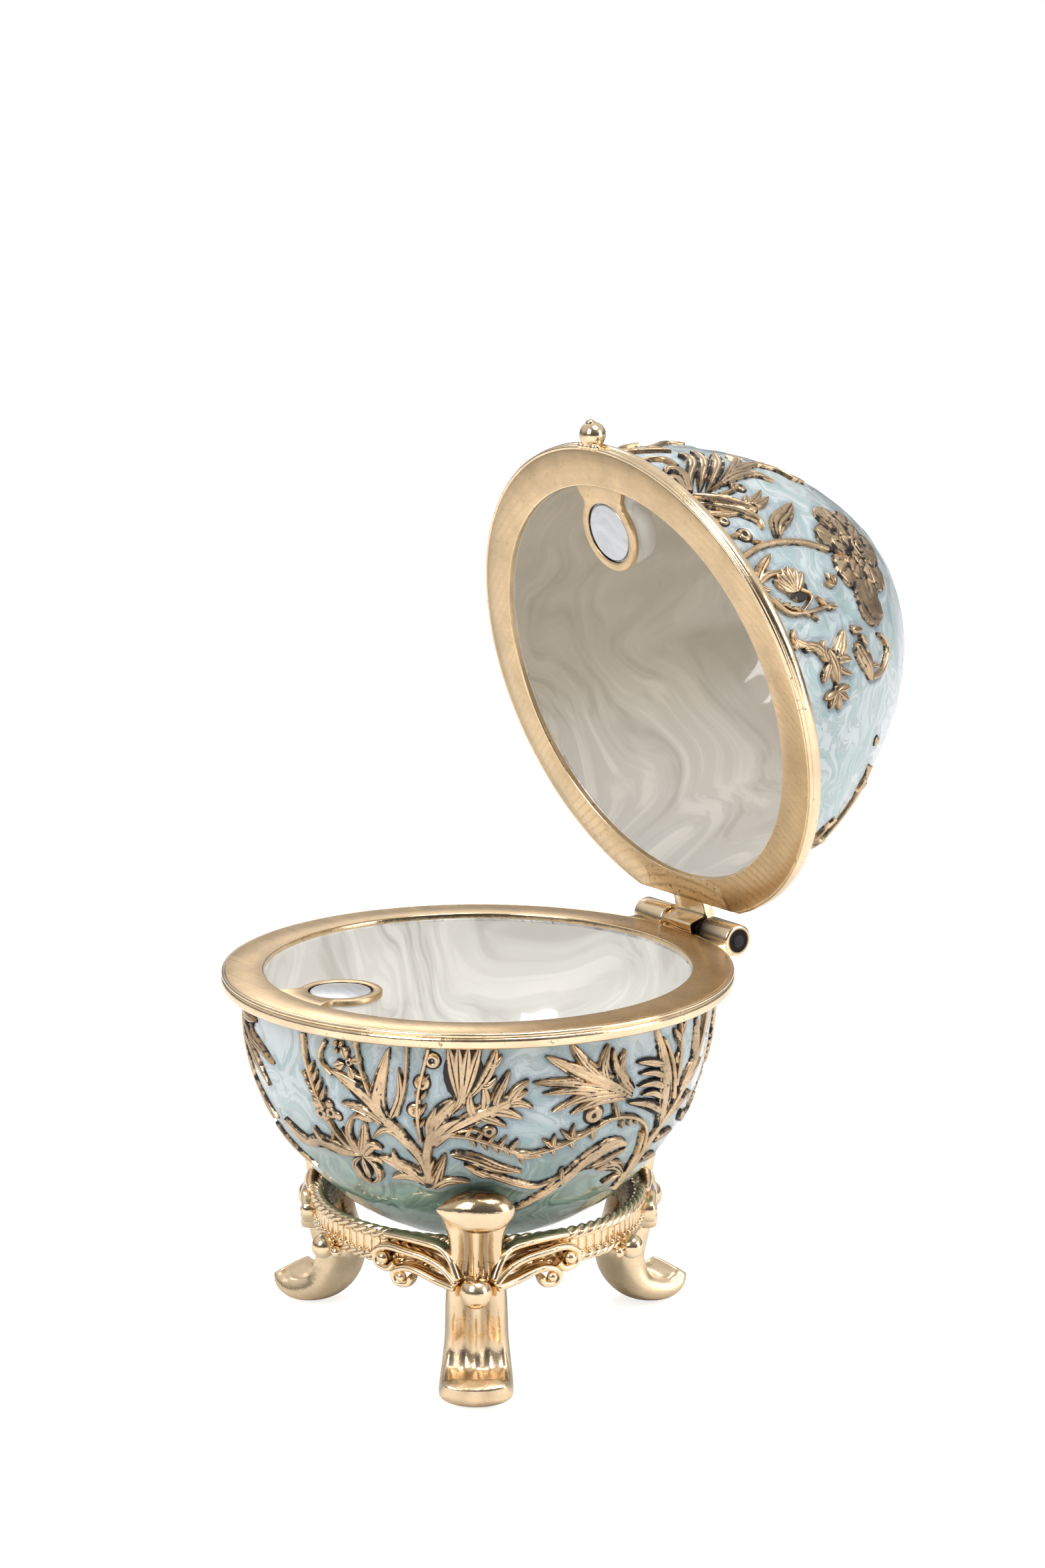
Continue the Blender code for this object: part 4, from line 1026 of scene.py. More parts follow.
def wear_group():
    """Speckled wear: fine dark pits and a broad uneven tone."""
    build, given, result = new_group("Wear", ("Pits",), (2600.0,), ("Tone", "Specks"))
    broad = build.noise(given["Vector"], 240.0, detail=5.0, rough=0.62)["Fac"]
    fine = build.noise(given["Vector"], given["Pits"], detail=2.0, rough=0.7)["Fac"]
    build.fill(result, {"Tone": broad, "Specks": build.ramp(fine, (0.60, 0.0), (0.70, 1.0))})


def brushing_group():
    """Fine straight scratches that run along X."""
    build, given, result = new_group("Brushing", ("Fineness",), (3600.0,), ("Lines",))
    squeeze = build.add("ShaderNodeMapping", {"Vector": given["Vector"],
                                              "Scale": (0.05, 1.0, 1.0)})[0]
    lines = build.noise(squeeze, given["Fineness"], detail=3.0, rough=0.65)["Fac"]
    build.fill(result, {"Lines": lines})


def colour_of(name):
    """A colour of the panel's settings."""
    return tuple(getattr(bpy.context.scene.finish_settings, name))


def tinted(colour, *amounts):
    """A colour times one amount, or times one for each of its channels."""
    amounts = amounts if len(amounts) == 3 else amounts * 3
    return tuple(min(1.0, amount * part) for amount, part in zip(amounts, colour))


def aqua_enamel(build, where):
    """Glossy stirred enamel with contour lines where it pools against the relief, with painted
    shade beside the relief and low on the bowl.
    """
    aqua, milk = colour_of("aqua"), colour_of("milk")
    marble = build.group("Marbling", where, Scale=115.0, Stir=0.017)
    flow, bands = marble["Flow"], marble["Bands"]
    colour = build.ramp(flow, (0.36, aqua), (0.45, tinted(milk, 0.82)), (0.54, milk),
                        (0.64, tinted(milk, 1.04)), smooth=True)
    deep = build.ramp(bands, (0.36, 0.75), (0.50, 0.0), smooth=True)
    colour = build.mix(build.times(deep, 0.75), colour, aqua)
    colour = build.mix(build.times(marble["Veins"], 0.34), colour, tinted(aqua, 0.55))
    # The lowest part of the bowl is greener and darker; the darkening is painted shade beneath the
    # bowl.
    down = build.plus(build.below_rim(where, 40.0), build.times(flow, 0.12))
    low_shade = build.ramp(down, (0.40, 0.0), (0.55, 0.6), (0.70, 0.95), smooth=True)
    low_shade_green = build.ramp(flow, (0.38, (0.05, 0.12, 0.075)), (0.60, (0.19, 0.31, 0.235)))
    colour = build.mix(low_shade, colour, low_shade_green)
    # The near layer is the distance from the relief in millimetres.
    near = build.layer("near")
    # Painted shade: a blue-grey darkening of the enamel where it meets the relief.
    relief_shade = build.ramp(near, (0.0, 1.0), (0.25, 0.8), (0.7, 0.3), (1.0, 0.1), smooth=True)
    colour = build.mix(build.times(relief_shade, 0.52), colour, (0.25, 0.30, 0.38))
    winding = build.plus(build.times(near, 13.0), build.times(bands, 22.0))
    lines = build.math("ABSOLUTE", build.math("SINE", winding))
    lines = build.ramp(lines, (0.0, 1.0), (0.5, 0.0), smooth=True)
    fade = build.ramp(near, (0.0, 0.1), (0.3, 0.5), (1.0, 0.0))
    colour = build.mix(build.times(lines, fade), colour, tinted(aqua, 0.5))
    return {"Base Color": colour, "Normal": build.bump(flow, 0.22, 0.00012),
            "Roughness": 0.34, "Coat Weight": 1.0, "Coat Roughness": 0.04}


def lining(build, where, marble, shade, light, strength):
    """Milk-white stirred enamel with soft beige and grey streaks, and a few spots."""
    flow = marble["Flow"]
    dark = build.mix(1.0, shade, (0.80, 0.79, 0.77), blend="MULTIPLY")
    low = build.ramp(flow, (0.34, 1.0), (0.48, 0.0), smooth=True)
    high = build.ramp(flow, (0.50, 0.0), (0.62, 1.0), smooth=True)
    colour = build.mix(build.times(low, strength), shade, dark)
    colour = build.mix(build.times(high, strength), colour, light)
    deep = build.ramp(marble["Bands"], (0.34, 0.32), (0.52, 0.0), smooth=True)
    colour = build.mix(deep, colour, dark)
    wear = build.group("Wear", where, Pits=420.0)
    spots = build.ramp(wear["Tone"], (0.72, 0.0), (0.76, 0.5))
    colour = build.mix(spots, colour, (0.30, 0.26, 0.20))
    return {"Base Color": colour, "Normal": build.bump(flow, 0.16, 0.00016),
            "Roughness": 0.38, "Coat Weight": 1.0, "Coat Roughness": 0.05}


def bowl_enamel(build, where):
    """The bowl's lining."""
    marble = build.group("Marbling", where, Scale=50.0, Stir=0.030)
    pearl = colour_of("pearl")
    return lining(build, where, marble, pearl, tinted(pearl, 1.12), 1.0)


def lid_enamel(build, where):
    """The lid's lining: its cream is the pearl in painted shade, paler by the hinge as painted
    light, with its streaks across.
    """
    pearl, shaded_cream = colour_of("pearl"), colour_of("shaded_cream")
    across = build.add("ShaderNodeMapping", {"Vector": where, "Rotation": (0.5, 1.2, 0.7)})[0]
    marble = build.group("Marbling", across, Scale=52.0, Stir=0.024)
    up = build.below_rim(where, -25.0)
    # Painted light: towards the hinge, low in the open lid, the lining turns from the shaded cream
    # to the pearl and its streaks grow stronger.
    pale = build.ramp(up, (0.10, 1.0), (0.62, 0.0), smooth=True)
    shade = build.mix(pale, shaded_cream, pearl)
    light = build.mix(pale, tinted(shaded_cream, 1.16), tinted(pearl, 1.22))
    return lining(build, where, marble, shade, light, build.ramp(up, (0.30, 1.0), (0.85, 0.45)))


def recess(build, tone, shade, amount=1.0):
    """Darkens a tone where the layer marks patination and painted shade."""
    return build.mix(build.times(build.layer("patina"), amount, clamp=True), tone, shade)


def rim_gold(build, where):
    """Satin gold with scratches along the hinge's direction, pits and a worn tone."""
    lines = build.group("Brushing", where)["Lines"]
    wear = build.group("Wear", where)
    warm = tinted(colour_of("gold"), 0.91, 0.87, 0.80)
    tone = build.ramp(wear["Tone"], (0.32, tinted(warm, 0.69)), (0.60, tinted(warm, 0.95)))
    tone = build.mix(build.times(lines, 0.25), tone, tinted(warm, 0.66))
    # Coarser machining lines show near the hinge, with darker wear between them.
    apart = build.vector("DISTANCE", where, HINGE)["Value"]
    close = build.ramp(build.times(apart, 40.0), (0.15, 0.80), (0.45, 0.35), (1.0, 0.15),
                       smooth=True)
    split = build.split(where)
    travel = build.plus(build.times(split["Y"], 1.6), split["Z"])
    bow = build.times(split["X"], split["X"])
    travel = build.plus(travel, build.times(bow, 14.0))
    wobble = build.times(wear["Tone"], 5.0)
    rings = build.math("SINE", build.plus(build.times(travel, 12500.0), wobble))
    grooves = build.times(build.ramp(rings, (0.1, 0.0), (0.9, 1.0)), close)
    patchy = build.times(grooves, build.ramp(wear["Tone"], (0.38, 0.15), (0.62, 1.0)))
    tone = build.mix(build.times(close, 0.55), tone, (0.88, 0.60, 0.29))
    tone = build.mix(build.times(patchy, 0.85), tone, (0.36, 0.20, 0.09))
    pits = build.times(wear["Specks"], build.plus(close, 0.05))
    tone = build.mix(pits, tone, (0.12, 0.08, 0.05))
    height = build.plus(lines, build.times(grooves, 0.6))
    return {"Base Color": recess(build, tone, (0.02, 0.016, 0.014)), "Metallic": 1.0,
            "Roughness": build.plus(build.times(lines, 0.25), 0.24),
            "Normal": build.bump(height, 0.30, 0.00003)}


def edge_gold(build, where):
    """Polished gold with shallow dents and dark pits."""
    wear = build.group("Wear", where, Pits=1900.0)
    gold, worn = colour_of("gold"), wear["Tone"]
    tone = build.ramp(worn, (0.35, tinted(gold, 0.84)), (0.65, tinted(gold, 1.08)))
    pits = build.times(wear["Specks"], build.ramp(worn, (0.5, 0.0), (0.62, 0.8)))
    tone = build.mix(pits, tone, (0.06, 0.04, 0.025))
    return {"Base Color": recess(build, tone, (0.02, 0.016, 0.014)), "Metallic": 1.0,
            "Roughness": build.ramp(worn, (0.3, 0.10), (0.7, 0.24)),
            "Normal": build.bump(worn, 0.22, 0.0003)}


def relief_gold(build, where):
    """Antique gold, with near-black patination in the grooves and round the feet."""
    wear = build.group("Wear", where, Pits=2400.0)
    aged = tinted(colour_of("gold"), 0.97, 0.91, 0.87)
    tone = build.ramp(wear["Tone"], (0.34, tinted(aged, 0.42)), (0.62, tinted(aged, 0.80)))
    tone = build.mix(build.times(wear["Specks"], 0.55), tone, (0.09, 0.06, 0.04))
    streak = build.noise(where, 1100.0, detail=4.0, rough=0.65)["Fac"]
    uneven = build.times(build.math("SUBTRACT", streak, 0.5), 2.0)
    mask = build.ramp(build.plus(build.layer("patina"), uneven), (0.36, 0.0), (0.56, 1.0))
    return {"Base Color": build.mix(mask, tone, (0.018, 0.014, 0.012)),
            "Metallic": build.ramp(mask, (0.0, 1.0), (1.0, 0.1)),
            "Roughness": build.ramp(mask, (0.0, 0.28), (1.0, 0.6)),
            "Normal": build.bump(streak, 0.55, 0.0001)}


def stand_gold(build, where):
    """Bright pale gold plate over a cast surface, duller and browner in the hollows and where
    painted shade lies on the legs and heads.
    """
    worn = build.group("Wear", where, Pits=1500.0)["Tone"]
    gold = colour_of("gold")
    tone = build.ramp(worn, (0.34, tinted(gold, 0.83)), (0.66, tinted(gold, 1.02)))
    # Handling has left the feet satin.
    satin = build.ramp(build.below_rim(where, 20.0), (0.49, 0.0), (0.56, 0.09), smooth=True)
    polish = build.ramp(worn, (0.3, 0.12), (0.7, 0.26))
    return {"Base Color": recess(build, tone, (0.15, 0.09, 0.04), 0.85), "Metallic": 1.0,
            "Roughness": build.plus(polish, satin), "Normal": build.bump(worn, 0.34, 0.0004)}


def shaded_gallery_gold(build, where):
    """Dull greenish brown gilding in the collar's recesses: painted shade, with a painted green
    reflection of the bowl.
    """
    worn = build.group("Wear", where, Pits=2000.0)["Tone"]
    tone = build.ramp(worn, (0.35, (0.05, 0.045, 0.025)), (0.65, (0.24, 0.18, 0.09)))
    return {"Base Color": tone, "Metallic": 0.85, "Roughness": 0.4}


def magnet_plate(build, where):
    """Nickel plate with soft streaks."""
    marble = build.group("Marbling", where, Scale=200.0, Stir=0.003)
    tone = build.ramp(marble["Flow"], (0.3, (0.50, 0.51, 0.53)), (0.7, (0.66, 0.665, 0.675)))
    return {"Base Color": tone, "Metallic": 0.65,
            "Roughness": build.ramp(marble["Bands"], (0.3, 0.2), (0.7, 0.38))}


def tarnished_steel(build, where):
    """Near-black tarnished steel with a few bright scratches."""
    wear = build.group("Wear", where, Pits=1800.0)
    return {"Base Color": build.mix(wear["Specks"], (0.03, 0.03, 0.034), (0.22, 0.20, 0.18)),
            "Metallic": 0.8, "Roughness": build.ramp(wear["Tone"], (0.3, 0.3), (0.7, 0.6))}


FINISHES = {
    "aqua": ("Aqua enamel", aqua_enamel), "bowl": ("Pearl enamel bowl", bowl_enamel),
    "lid": ("Pearl enamel lid", lid_enamel), "rim": ("Rim gold", rim_gold),
    "edge": ("Edge gold", edge_gold), "relief": ("Antique gold", relief_gold),
    "stand": ("Polished gold", stand_gold), "gallery": ("Dull gilding", shaded_gallery_gold),
    "magnet": ("Nickel plate", magnet_plate), "steel": ("Tarnished steel", tarnished_steel),
}
MADE = {}


def finish_of(name):
    """A finish's material, made when it is first asked for."""
    if not MADE:
        marbling_group()
        wear_group()
        brushing_group()
    if name not in MADE:
        title, maker = FINISHES[name]
        mat = MADE[name] = bpy.data.materials.new(title)
        mat.use_nodes = True
        build = Nodes(mat.node_tree)
        where = build.add("ShaderNodeTexCoord")["Object"]
        build.fill(mat.node_tree.nodes["Principled BSDF"], maker(build, where))
    return MADE[name]


# ---------------------------------------------------------------- egg pieces

def dress(half):
    """Adds a half's ornaments, and gives every place where they meet the enamel."""
    touch = []
    for name, maker, turn in DRESS[half.name]:
        relief = Relief(outer_wall(half), egg_settings().relief_height, turn, half.age)
        maker(relief)
        touch += relief.touch
        add_to_half(half, name, relief.whole(), ["relief"], sharp=42)
    tree = KDTree(len(touch))
    for index, place in enumerate(touch):
        tree.insert(place, index)
    tree.balance()
    return tree


class EGG_OT_enamel(bpy.types.Operator):
    """Outer enamel of both halves, with the relief it pools against"""
    bl_idname = "egg.enamel"
    bl_label = "Relief and enamel"

    def execute(self, context):
        for half in HALVES:
            wall = outer_wall(half)
            tree = dress(half)
            bm = bmesh.new()
            near = bm.verts.layers.float.new("near")
            wrapped(bm, 400, 110,
                    lambda turn, share: wall.place(math.degrees(turn), wall.total * share))
            face_out(bm, True)
            bm.normal_update()
            pushes = []
            for vert in bm.verts:
                # The enamel dips against the relief and stands in a ridge a little way off.
                away = min(tree.find(vert.co)[2] / MM, 3.0)
                vert[near] = away
                ridge = 0.13 * hump(away - 0.5, 0.3)
                dip = 0.09 * hump(away, 0.2)
                wave = 0.07 * noise.noise(vert.co / (1.9 * MM)) * min(away, 1.0)
                pushes.append((ridge - dip + wave - 0.03) * MM)
            for vert, push in zip(bm.verts, pushes):
                vert.co += vert.normal * push
            thicken(add_to_half(half, "enamel", bm, ["aqua"], sharp=80), ENAMEL_THICK)
        return {"FINISHED"}


class EGG_OT_lining(bpy.types.Operator):
    """Pearl lining of both halves and of the magnet bosses"""
    bl_idname = "egg.lining"
    bl_label = "Lining"

    # The lining's first rows run straight up under the rim's lip.
    LIP_SHARE = 0.05
    LIP_RISE = 0.9 * MM
    # A boss's sections: how far under the rim's face, and how much smaller than the tab.
    BOSS = ((0.45, 0.12), (1.6, 0.10), (2.5, 0.14), (3.0, 0.45), (3.2, 1.1), (3.25, 2.2))

    def execute(self, context):
        for half in HALVES:
            wall = inner_wall(half)

            def shape(turn, share):
                above = (self.LIP_SHARE - share) / self.LIP_SHARE
                arc = wall.total * max(share - self.LIP_SHARE, 0.0) / (1 - self.LIP_SHARE)
                spot = wall.place(math.degrees(turn), arc)
                spot.z -= half.side * self.LIP_RISE * max(above, 0.0)
                return spot
            bm = bmesh.new()
            wrapped(bm, 240, 80, shape)
            face_out(bm, False)
            for vert in bm.verts:
                if abs(vert.co.z - half.level) > 2.0 * MM:
                    vert.co *= 1 + 0.004 * noise.noise(vert.co / (3.5 * MM))
            thicken(add_to_half(half, "lining", bm, [half.name], sharp=80),
                    LINING_THICK)

            boss = bmesh.new()
            sweep(boss, [[Vector((x, y, half.level + half.side * drop * MM))
                          for x, y in tab_outline(shrink * MM)] for drop, shrink in self.BOSS])
            add_to_half(half, "boss", boss, ["bowl"])
        return {"FINISHED"}


def tab_outline(shrink=0.0):
    """Points round a magnet's tab: a disc joined to the rim by a neck with rounded corners."""
    disc, neck, flare = 3.5 * MM - shrink, 2.6 * MM - shrink, 0.9 * MM
    edge = RIM_BORE + 0.55 * MM
    stride = 0.05 * MM
    points = []
    for step in range(TAB_POINTS):
        angle = math.tau * step / TAB_POINTS
        reach = disc
        while True:
            x = (reach + stride) * math.sin(angle)
            y = MAGNET_Y - (reach + stride) * math.cos(angle)
            away = math.hypot(x, y)
            width = neck + flare * math.exp(-max(RIM_BORE - away, 0.0) / (0.45 * MM))
            if y > MAGNET_Y or abs(x) > width or away > edge:
                break
            reach += stride
        points.append((reach * math.sin(angle), MAGNET_Y - reach * math.cos(angle)))
    return points


def rim_outline(half, radius):
    """Closed section of a rim: face, bevelled edge, rounded side and a foot in the wall."""
    start = ((18.34, 0.75), (18.34, 0.12), (18.38, 0.03), (18.46, 0.0))
    # A fine bead and a groove run round the edge of the face.
    edge = ((0.42, 0.0), (0.36, 0.05), (0.30, 0.02), (0.20, 0.01), (0.12, 0.05), (0.06, 0.14),
            (0.05, 0.24), (0.10, 0.34), (0.16, 0.39), (0.10, 0.44), (0.04, 0.52), (0.0, 0.64),
            (0.0, 0.76))
    foot = ((20.5, 1.5), (19.8, 1.9), (19.2, 1.9), (19.2, 0.75))
    corner = 0.5 * MM
    middle = half.level + half.side * (RIM_HEIGHT - corner)
    points = [(r * MM, half.level + half.side * z * MM) for r, z in start]
    points += [(radius - inset * MM, half.level + half.side * z * MM) for inset, z in edge]
    for step in range(1, 7):
        angle = math.radians(15 * step)
        points.append((radius - corner + corner * math.cos(angle),
                       middle + half.side * corner * math.sin(angle)))
    return points + [(r * MM, half.level + half.side * z * MM) for r, z in foot]


def rim_form(half):
    """A rim: the lid's is cut off behind, and the bowl's has a notch for the lid's knuckle."""
    bm = bmesh.new()
    spun(bm, rim_outline(half, egg_settings().rim_radius), 240)
    if half.name == "lid":
        made = bmesh.ops.bisect_plane(bm, geom=bm.verts[:] + bm.edges[:] + bm.faces[:],
                                      plane_co=(0, LID_RIM_CUT, 0), plane_no=(0, 1, 0),
                                      clear_outer=True)["geom_cut"]
        edges = [item for item in made if isinstance(item, bmesh.types.BMEdge)]
        bmesh.ops.contextual_create(bm, geom=edges)
        bmesh.ops.recalc_face_normals(bm, faces=bm.faces)
    else:
        for vert in bm.verts:
            if vert.co.y > 0 and abs(vert.co.x) < NOTCH_HALF:
                share = (vert.co.xy.length - 20.6 * MM) / (1.4 * MM)
                vert.co.y -= NOTCH_DEEP * max(share, 0.0)
    bm.normal_update()
    for face in bm.faces:
        flat = face.normal.z * -half.side > 0.97
        inside = face.calc_center_median().xy.length < 21.4 * MM
        face.material_index = 0 if flat and inside else 1
    return bm


def tab_form(half):
    """A magnet's tab: a plate with softened edges round the magnet's hole."""
    tab = bmesh.new()
    top = half.level + half.side * half.tab_drop * MM
    outer = [Vector((x, y, top)) for x, y in tab_outline()]
    hole = []
    for step in range(TAB_POINTS):
        turn = math.tau * step / TAB_POINTS
        hole.append(Vector((MAGNET_HOLE * math.sin(turn),
                            MAGNET_Y - MAGNET_HOLE * math.cos(turn), top)))
    down = Vector((0, 0, half.side * 0.5 * MM))
    lip = Vector((0, 0, half.side * 0.06 * MM))
    inner = [point + (more - point).normalized() * 0.07 * MM
             for point, more in zip(hole, outer)]
    crest = [point + (more - point).normalized() * 0.09 * MM
             for point, more in zip(outer, hole)]
    sweep(tab, [[point + down for point in hole], [point + lip for point in hole], inner,
                crest, [point + lip for point in outer], [point + down for point in outer]],
          closed=True)
    tab.normal_update()
    for face in tab.faces:
        middle = face.calc_center_median()
        inside = math.hypot(middle.x, middle.y - MAGNET_Y) < MAGNET_HOLE + 0.02 * MM
        face.material_index = 2 if inside else 0
    return tab


class EGG_OT_rims(bpy.types.Operator):
    """Gold rims of both halves with their magnet tabs"""
    bl_idname = "egg.rims"
    bl_label = "Rims and tabs"

    def execute(self, context):
        for half in HALVES:
            bm = rim_form(half)
            absorb(bm, tab_form(half))
            add_to_half(half, "rim", bm, ["rim", "edge", "steel"], sharp=60)
        return {"FINISHED"}


def add_bowl_knuckles():
    """The two outer knuckles on their brackets, and the lump beside the right one."""
    bm = bmesh.new()
    for start, end in BOWL_KNUCKLES:
        cylinder(bm, KNUCKLE_RADIUS, (start, HINGE_Y, 0), (end, HINGE_Y, 0), 48, 0.22 * MM)
        # The bracket runs in under the rim, just below its face.
        block(bm, (start + 0.1 * MM, 20.6 * MM, -1.35 * MM),
              (end - 0.1 * MM, HINGE_Y, -0.06 * MM), 0.15 * MM)
    # A second ring of points inside the bevel keeps the flat ends flat.
    caps = [face for face in bm.faces if len(face.verts) > 40]
    bmesh.ops.inset_individual(bm, faces=caps, thickness=0.22 * MM)
    ball(bm, Vector((4.9, 22.3, -1.25)) * MM, 1.0 * MM, (1.7, 0.9, 0.75))
    patina = patina_and_shade_layer(bm)
    inner_end, outer_end = BOWL_KNUCKLES[1]
    # The right knuckle is dark at its bored end, which is oxide, and at its end facing the middle
    # knuckle, which is painted shade in the gap.
    for vert in bm.verts:
        away = math.hypot(vert.co.y - HINGE_Y, vert.co.z)
        bore = vert.co.x > outer_end - 0.05 * MM and away < 1.1 * MM
        vert[patina] = float(bore or abs(vert.co.x - inner_end) < 0.3 * MM)
    add_piece("bowl_knuckles", bm, closed_place(), "base", ["bowl"], ["edge"])


def add_lid_knuckle():
    """The middle knuckle, bored for the pin, and its arm to the lid's rim."""
    bm = bmesh.new()
    half_turn = [-90 + 15 * step for step in range(13)]
    outline = [(HINGE_Y + KNUCKLE_RADIUS * math.cos(math.radians(turn)),
                KNUCKLE_RADIUS * math.sin(math.radians(turn))) for turn in half_turn]
    outline += [(21.2 * MM, KNUCKLE_RADIUS), (20.4 * MM, 1.6 * MM), (20.4 * MM, RIM_GAP),
                (21.7 * MM, RIM_GAP), (21.95 * MM, 0.2 * MM), (21.95 * MM, -1.3 * MM),
                (22.1 * MM, -KNUCKLE_RADIUS)]
    # The bore's points face the outline's, so that the two ends are flat rings.
    turns = half_turn + [120, 130, 140, 150, 170, 215, 235]
    bore = [(HINGE_Y + KNUCKLE_BORE * math.cos(math.radians(turn)),
             KNUCKLE_BORE * math.sin(math.radians(turn))) for turn in turns]
    start, end = LID_KNUCKLE
    sweep(bm, [[Vector((x, y, z)) for y, z in loop]
               for x, loop in ((start, outline), (end, outline), (end, bore), (start, bore))],
          closed=True)
    edges = [edge for edge in bm.edges
             if abs(edge.verts[0].co.x - edge.verts[1].co.x) < 0.01 * MM
             and all(math.hypot(vert.co.y - HINGE_Y, vert.co.z) > 1.2 * MM
                     for vert in edge.verts)]
    bmesh.ops.bevel(bm, geom=edges, offset=0.12 * MM, segments=2, profile=0.5,
                    affect="EDGES", material=-1)
    add_piece("lid_knuckle", bm, open_place(), "lid", ["lid"], ["edge"])


def add_catch():
    """The catch on the lid's rim: two balls and a collar of small ones, on a short post."""
    bm = bmesh.new()
    middle = Vector((0, -22.8, 1.2)) * MM
    ball(bm, middle, 1.15 * MM, sides=40)
    ball(bm, middle - Vector((0, 1.0 * MM, 0)), 0.42 * MM, sides=20)
    for across, size in ((-1.0, 0.4), (-0.5, 0.36), (0.1, 0.34), (0.7, 0.42), (1.1, 0.34)):
        ball(bm, middle + Vector((across, 0.86, -0.62)) * MM, size * MM, sides=16)
    cylinder(bm, 0.75 * MM, middle + Vector((0, 1.6 * MM, 0)), middle, 32, 0.1 * MM)
    add_piece("lid_catch", bm, open_place(), "lid", ["lid"], ["stand"])


class EGG_OT_hinge(bpy.types.Operator):
    """Knuckles of both halves, the pin, and the catch knob"""
    bl_idname = "egg.hinge"
    bl_label = "Hinge and catch"

    def execute(self, context):
        add_bowl_knuckles()
        add_lid_knuckle()
        bm = bmesh.new()
        cylinder(bm, PIN_RADIUS, (BOWL_KNUCKLES[0][0] - 0.1 * MM, HINGE_Y, 0),
                 (BOWL_KNUCKLES[1][1] + 0.1 * MM, HINGE_Y, 0), 32, 0.1 * MM)
        add_piece("pin", bm, closed_place(), "base", ["hinge_pin"], ["steel"])
        add_catch()
        return {"FINISHED"}


class EGG_OT_magnets(bpy.types.Operator):
    """Disc magnets in the tabs"""
    bl_idname = "egg.magnets"
    bl_label = "Magnets"

    def execute(self, context):
        for half in HALVES:
            bm = bmesh.new()
            face = half.level + half.side * half.disc_drop * MM
            cylinder(bm, MAGNET_RADIUS, (0, MAGNET_Y, face + half.side * MAGNET_THICK),
                     (0, MAGNET_Y, face), 96, 0.14 * MM)
            add_piece(f"{half.name}_magnet_disc", bm, half.place(), half.body,
                      [f"{half.name}_magnet"], ["magnet"])
        return {"FINISHED"}


# ---------------------------------------------------------------- stand

def rope(radius, height, thick, twists):
    """A ring of two twisted strands, dark in the grooves between them."""
    bm = bmesh.new()
    patina = patina_and_shade_layer(bm)
    grid = bmesh.ops.create_grid(bm, x_segments=8 * twists, y_segments=24, size=1.0)["verts"]
    for vert in grid:
        turn, around = math.pi * (vert.co.x + 1), math.pi * (vert.co.y + 1)
        wave = abs(math.sin(2 * around - turn * twists / 2))
        reach = thick * (0.60 + 0.50 * wave ** 0.8)
        out = radius + reach * math.cos(around)
        vert.co = (out * math.cos(turn), out * math.sin(turn), height + reach * math.sin(around))
        vert[patina] = 0.9 * max(0.0, 1 - 2.4 * wave)
    bmesh.ops.remove_doubles(bm, verts=grid, dist=MERGE)
    bmesh.ops.recalc_face_normals(bm, faces=bm.faces)
    return bm


def gallery(bm, pitch):
    """Copies of a form made at angle 0, in the gaps between the legs' scrolls."""
    count = 2 * round(GALLERY_HALF / pitch)
    first = LEG_ANGLES[0] + 60 - GALLERY_HALF
    geom = bm.verts[:] + bm.edges[:] + bm.faces[:]
    bmesh.ops.rotate(bm, cent=(0, 0, 0), verts=bm.verts,
                     matrix=Matrix.Rotation(math.radians(first), 3, "Z"))
    bmesh.ops.spin(bm, geom=geom, cent=(0, 0, 0), axis=(0, 0, 1),
                   angle=math.radians(pitch * count), steps=count, use_duplicate=True)
    mesh = bpy.data.meshes.new("row")
    bm.to_mesh(mesh)
    bm.free()
    # Each turn starts from the one before.
    result = bmesh.new()
    for turn in (0, 120, 120):
        mesh.transform(Matrix.Rotation(math.radians(turn), 4, "Z"))
        result.from_mesh(mesh)
    bpy.data.meshes.remove(mesh)
    return result


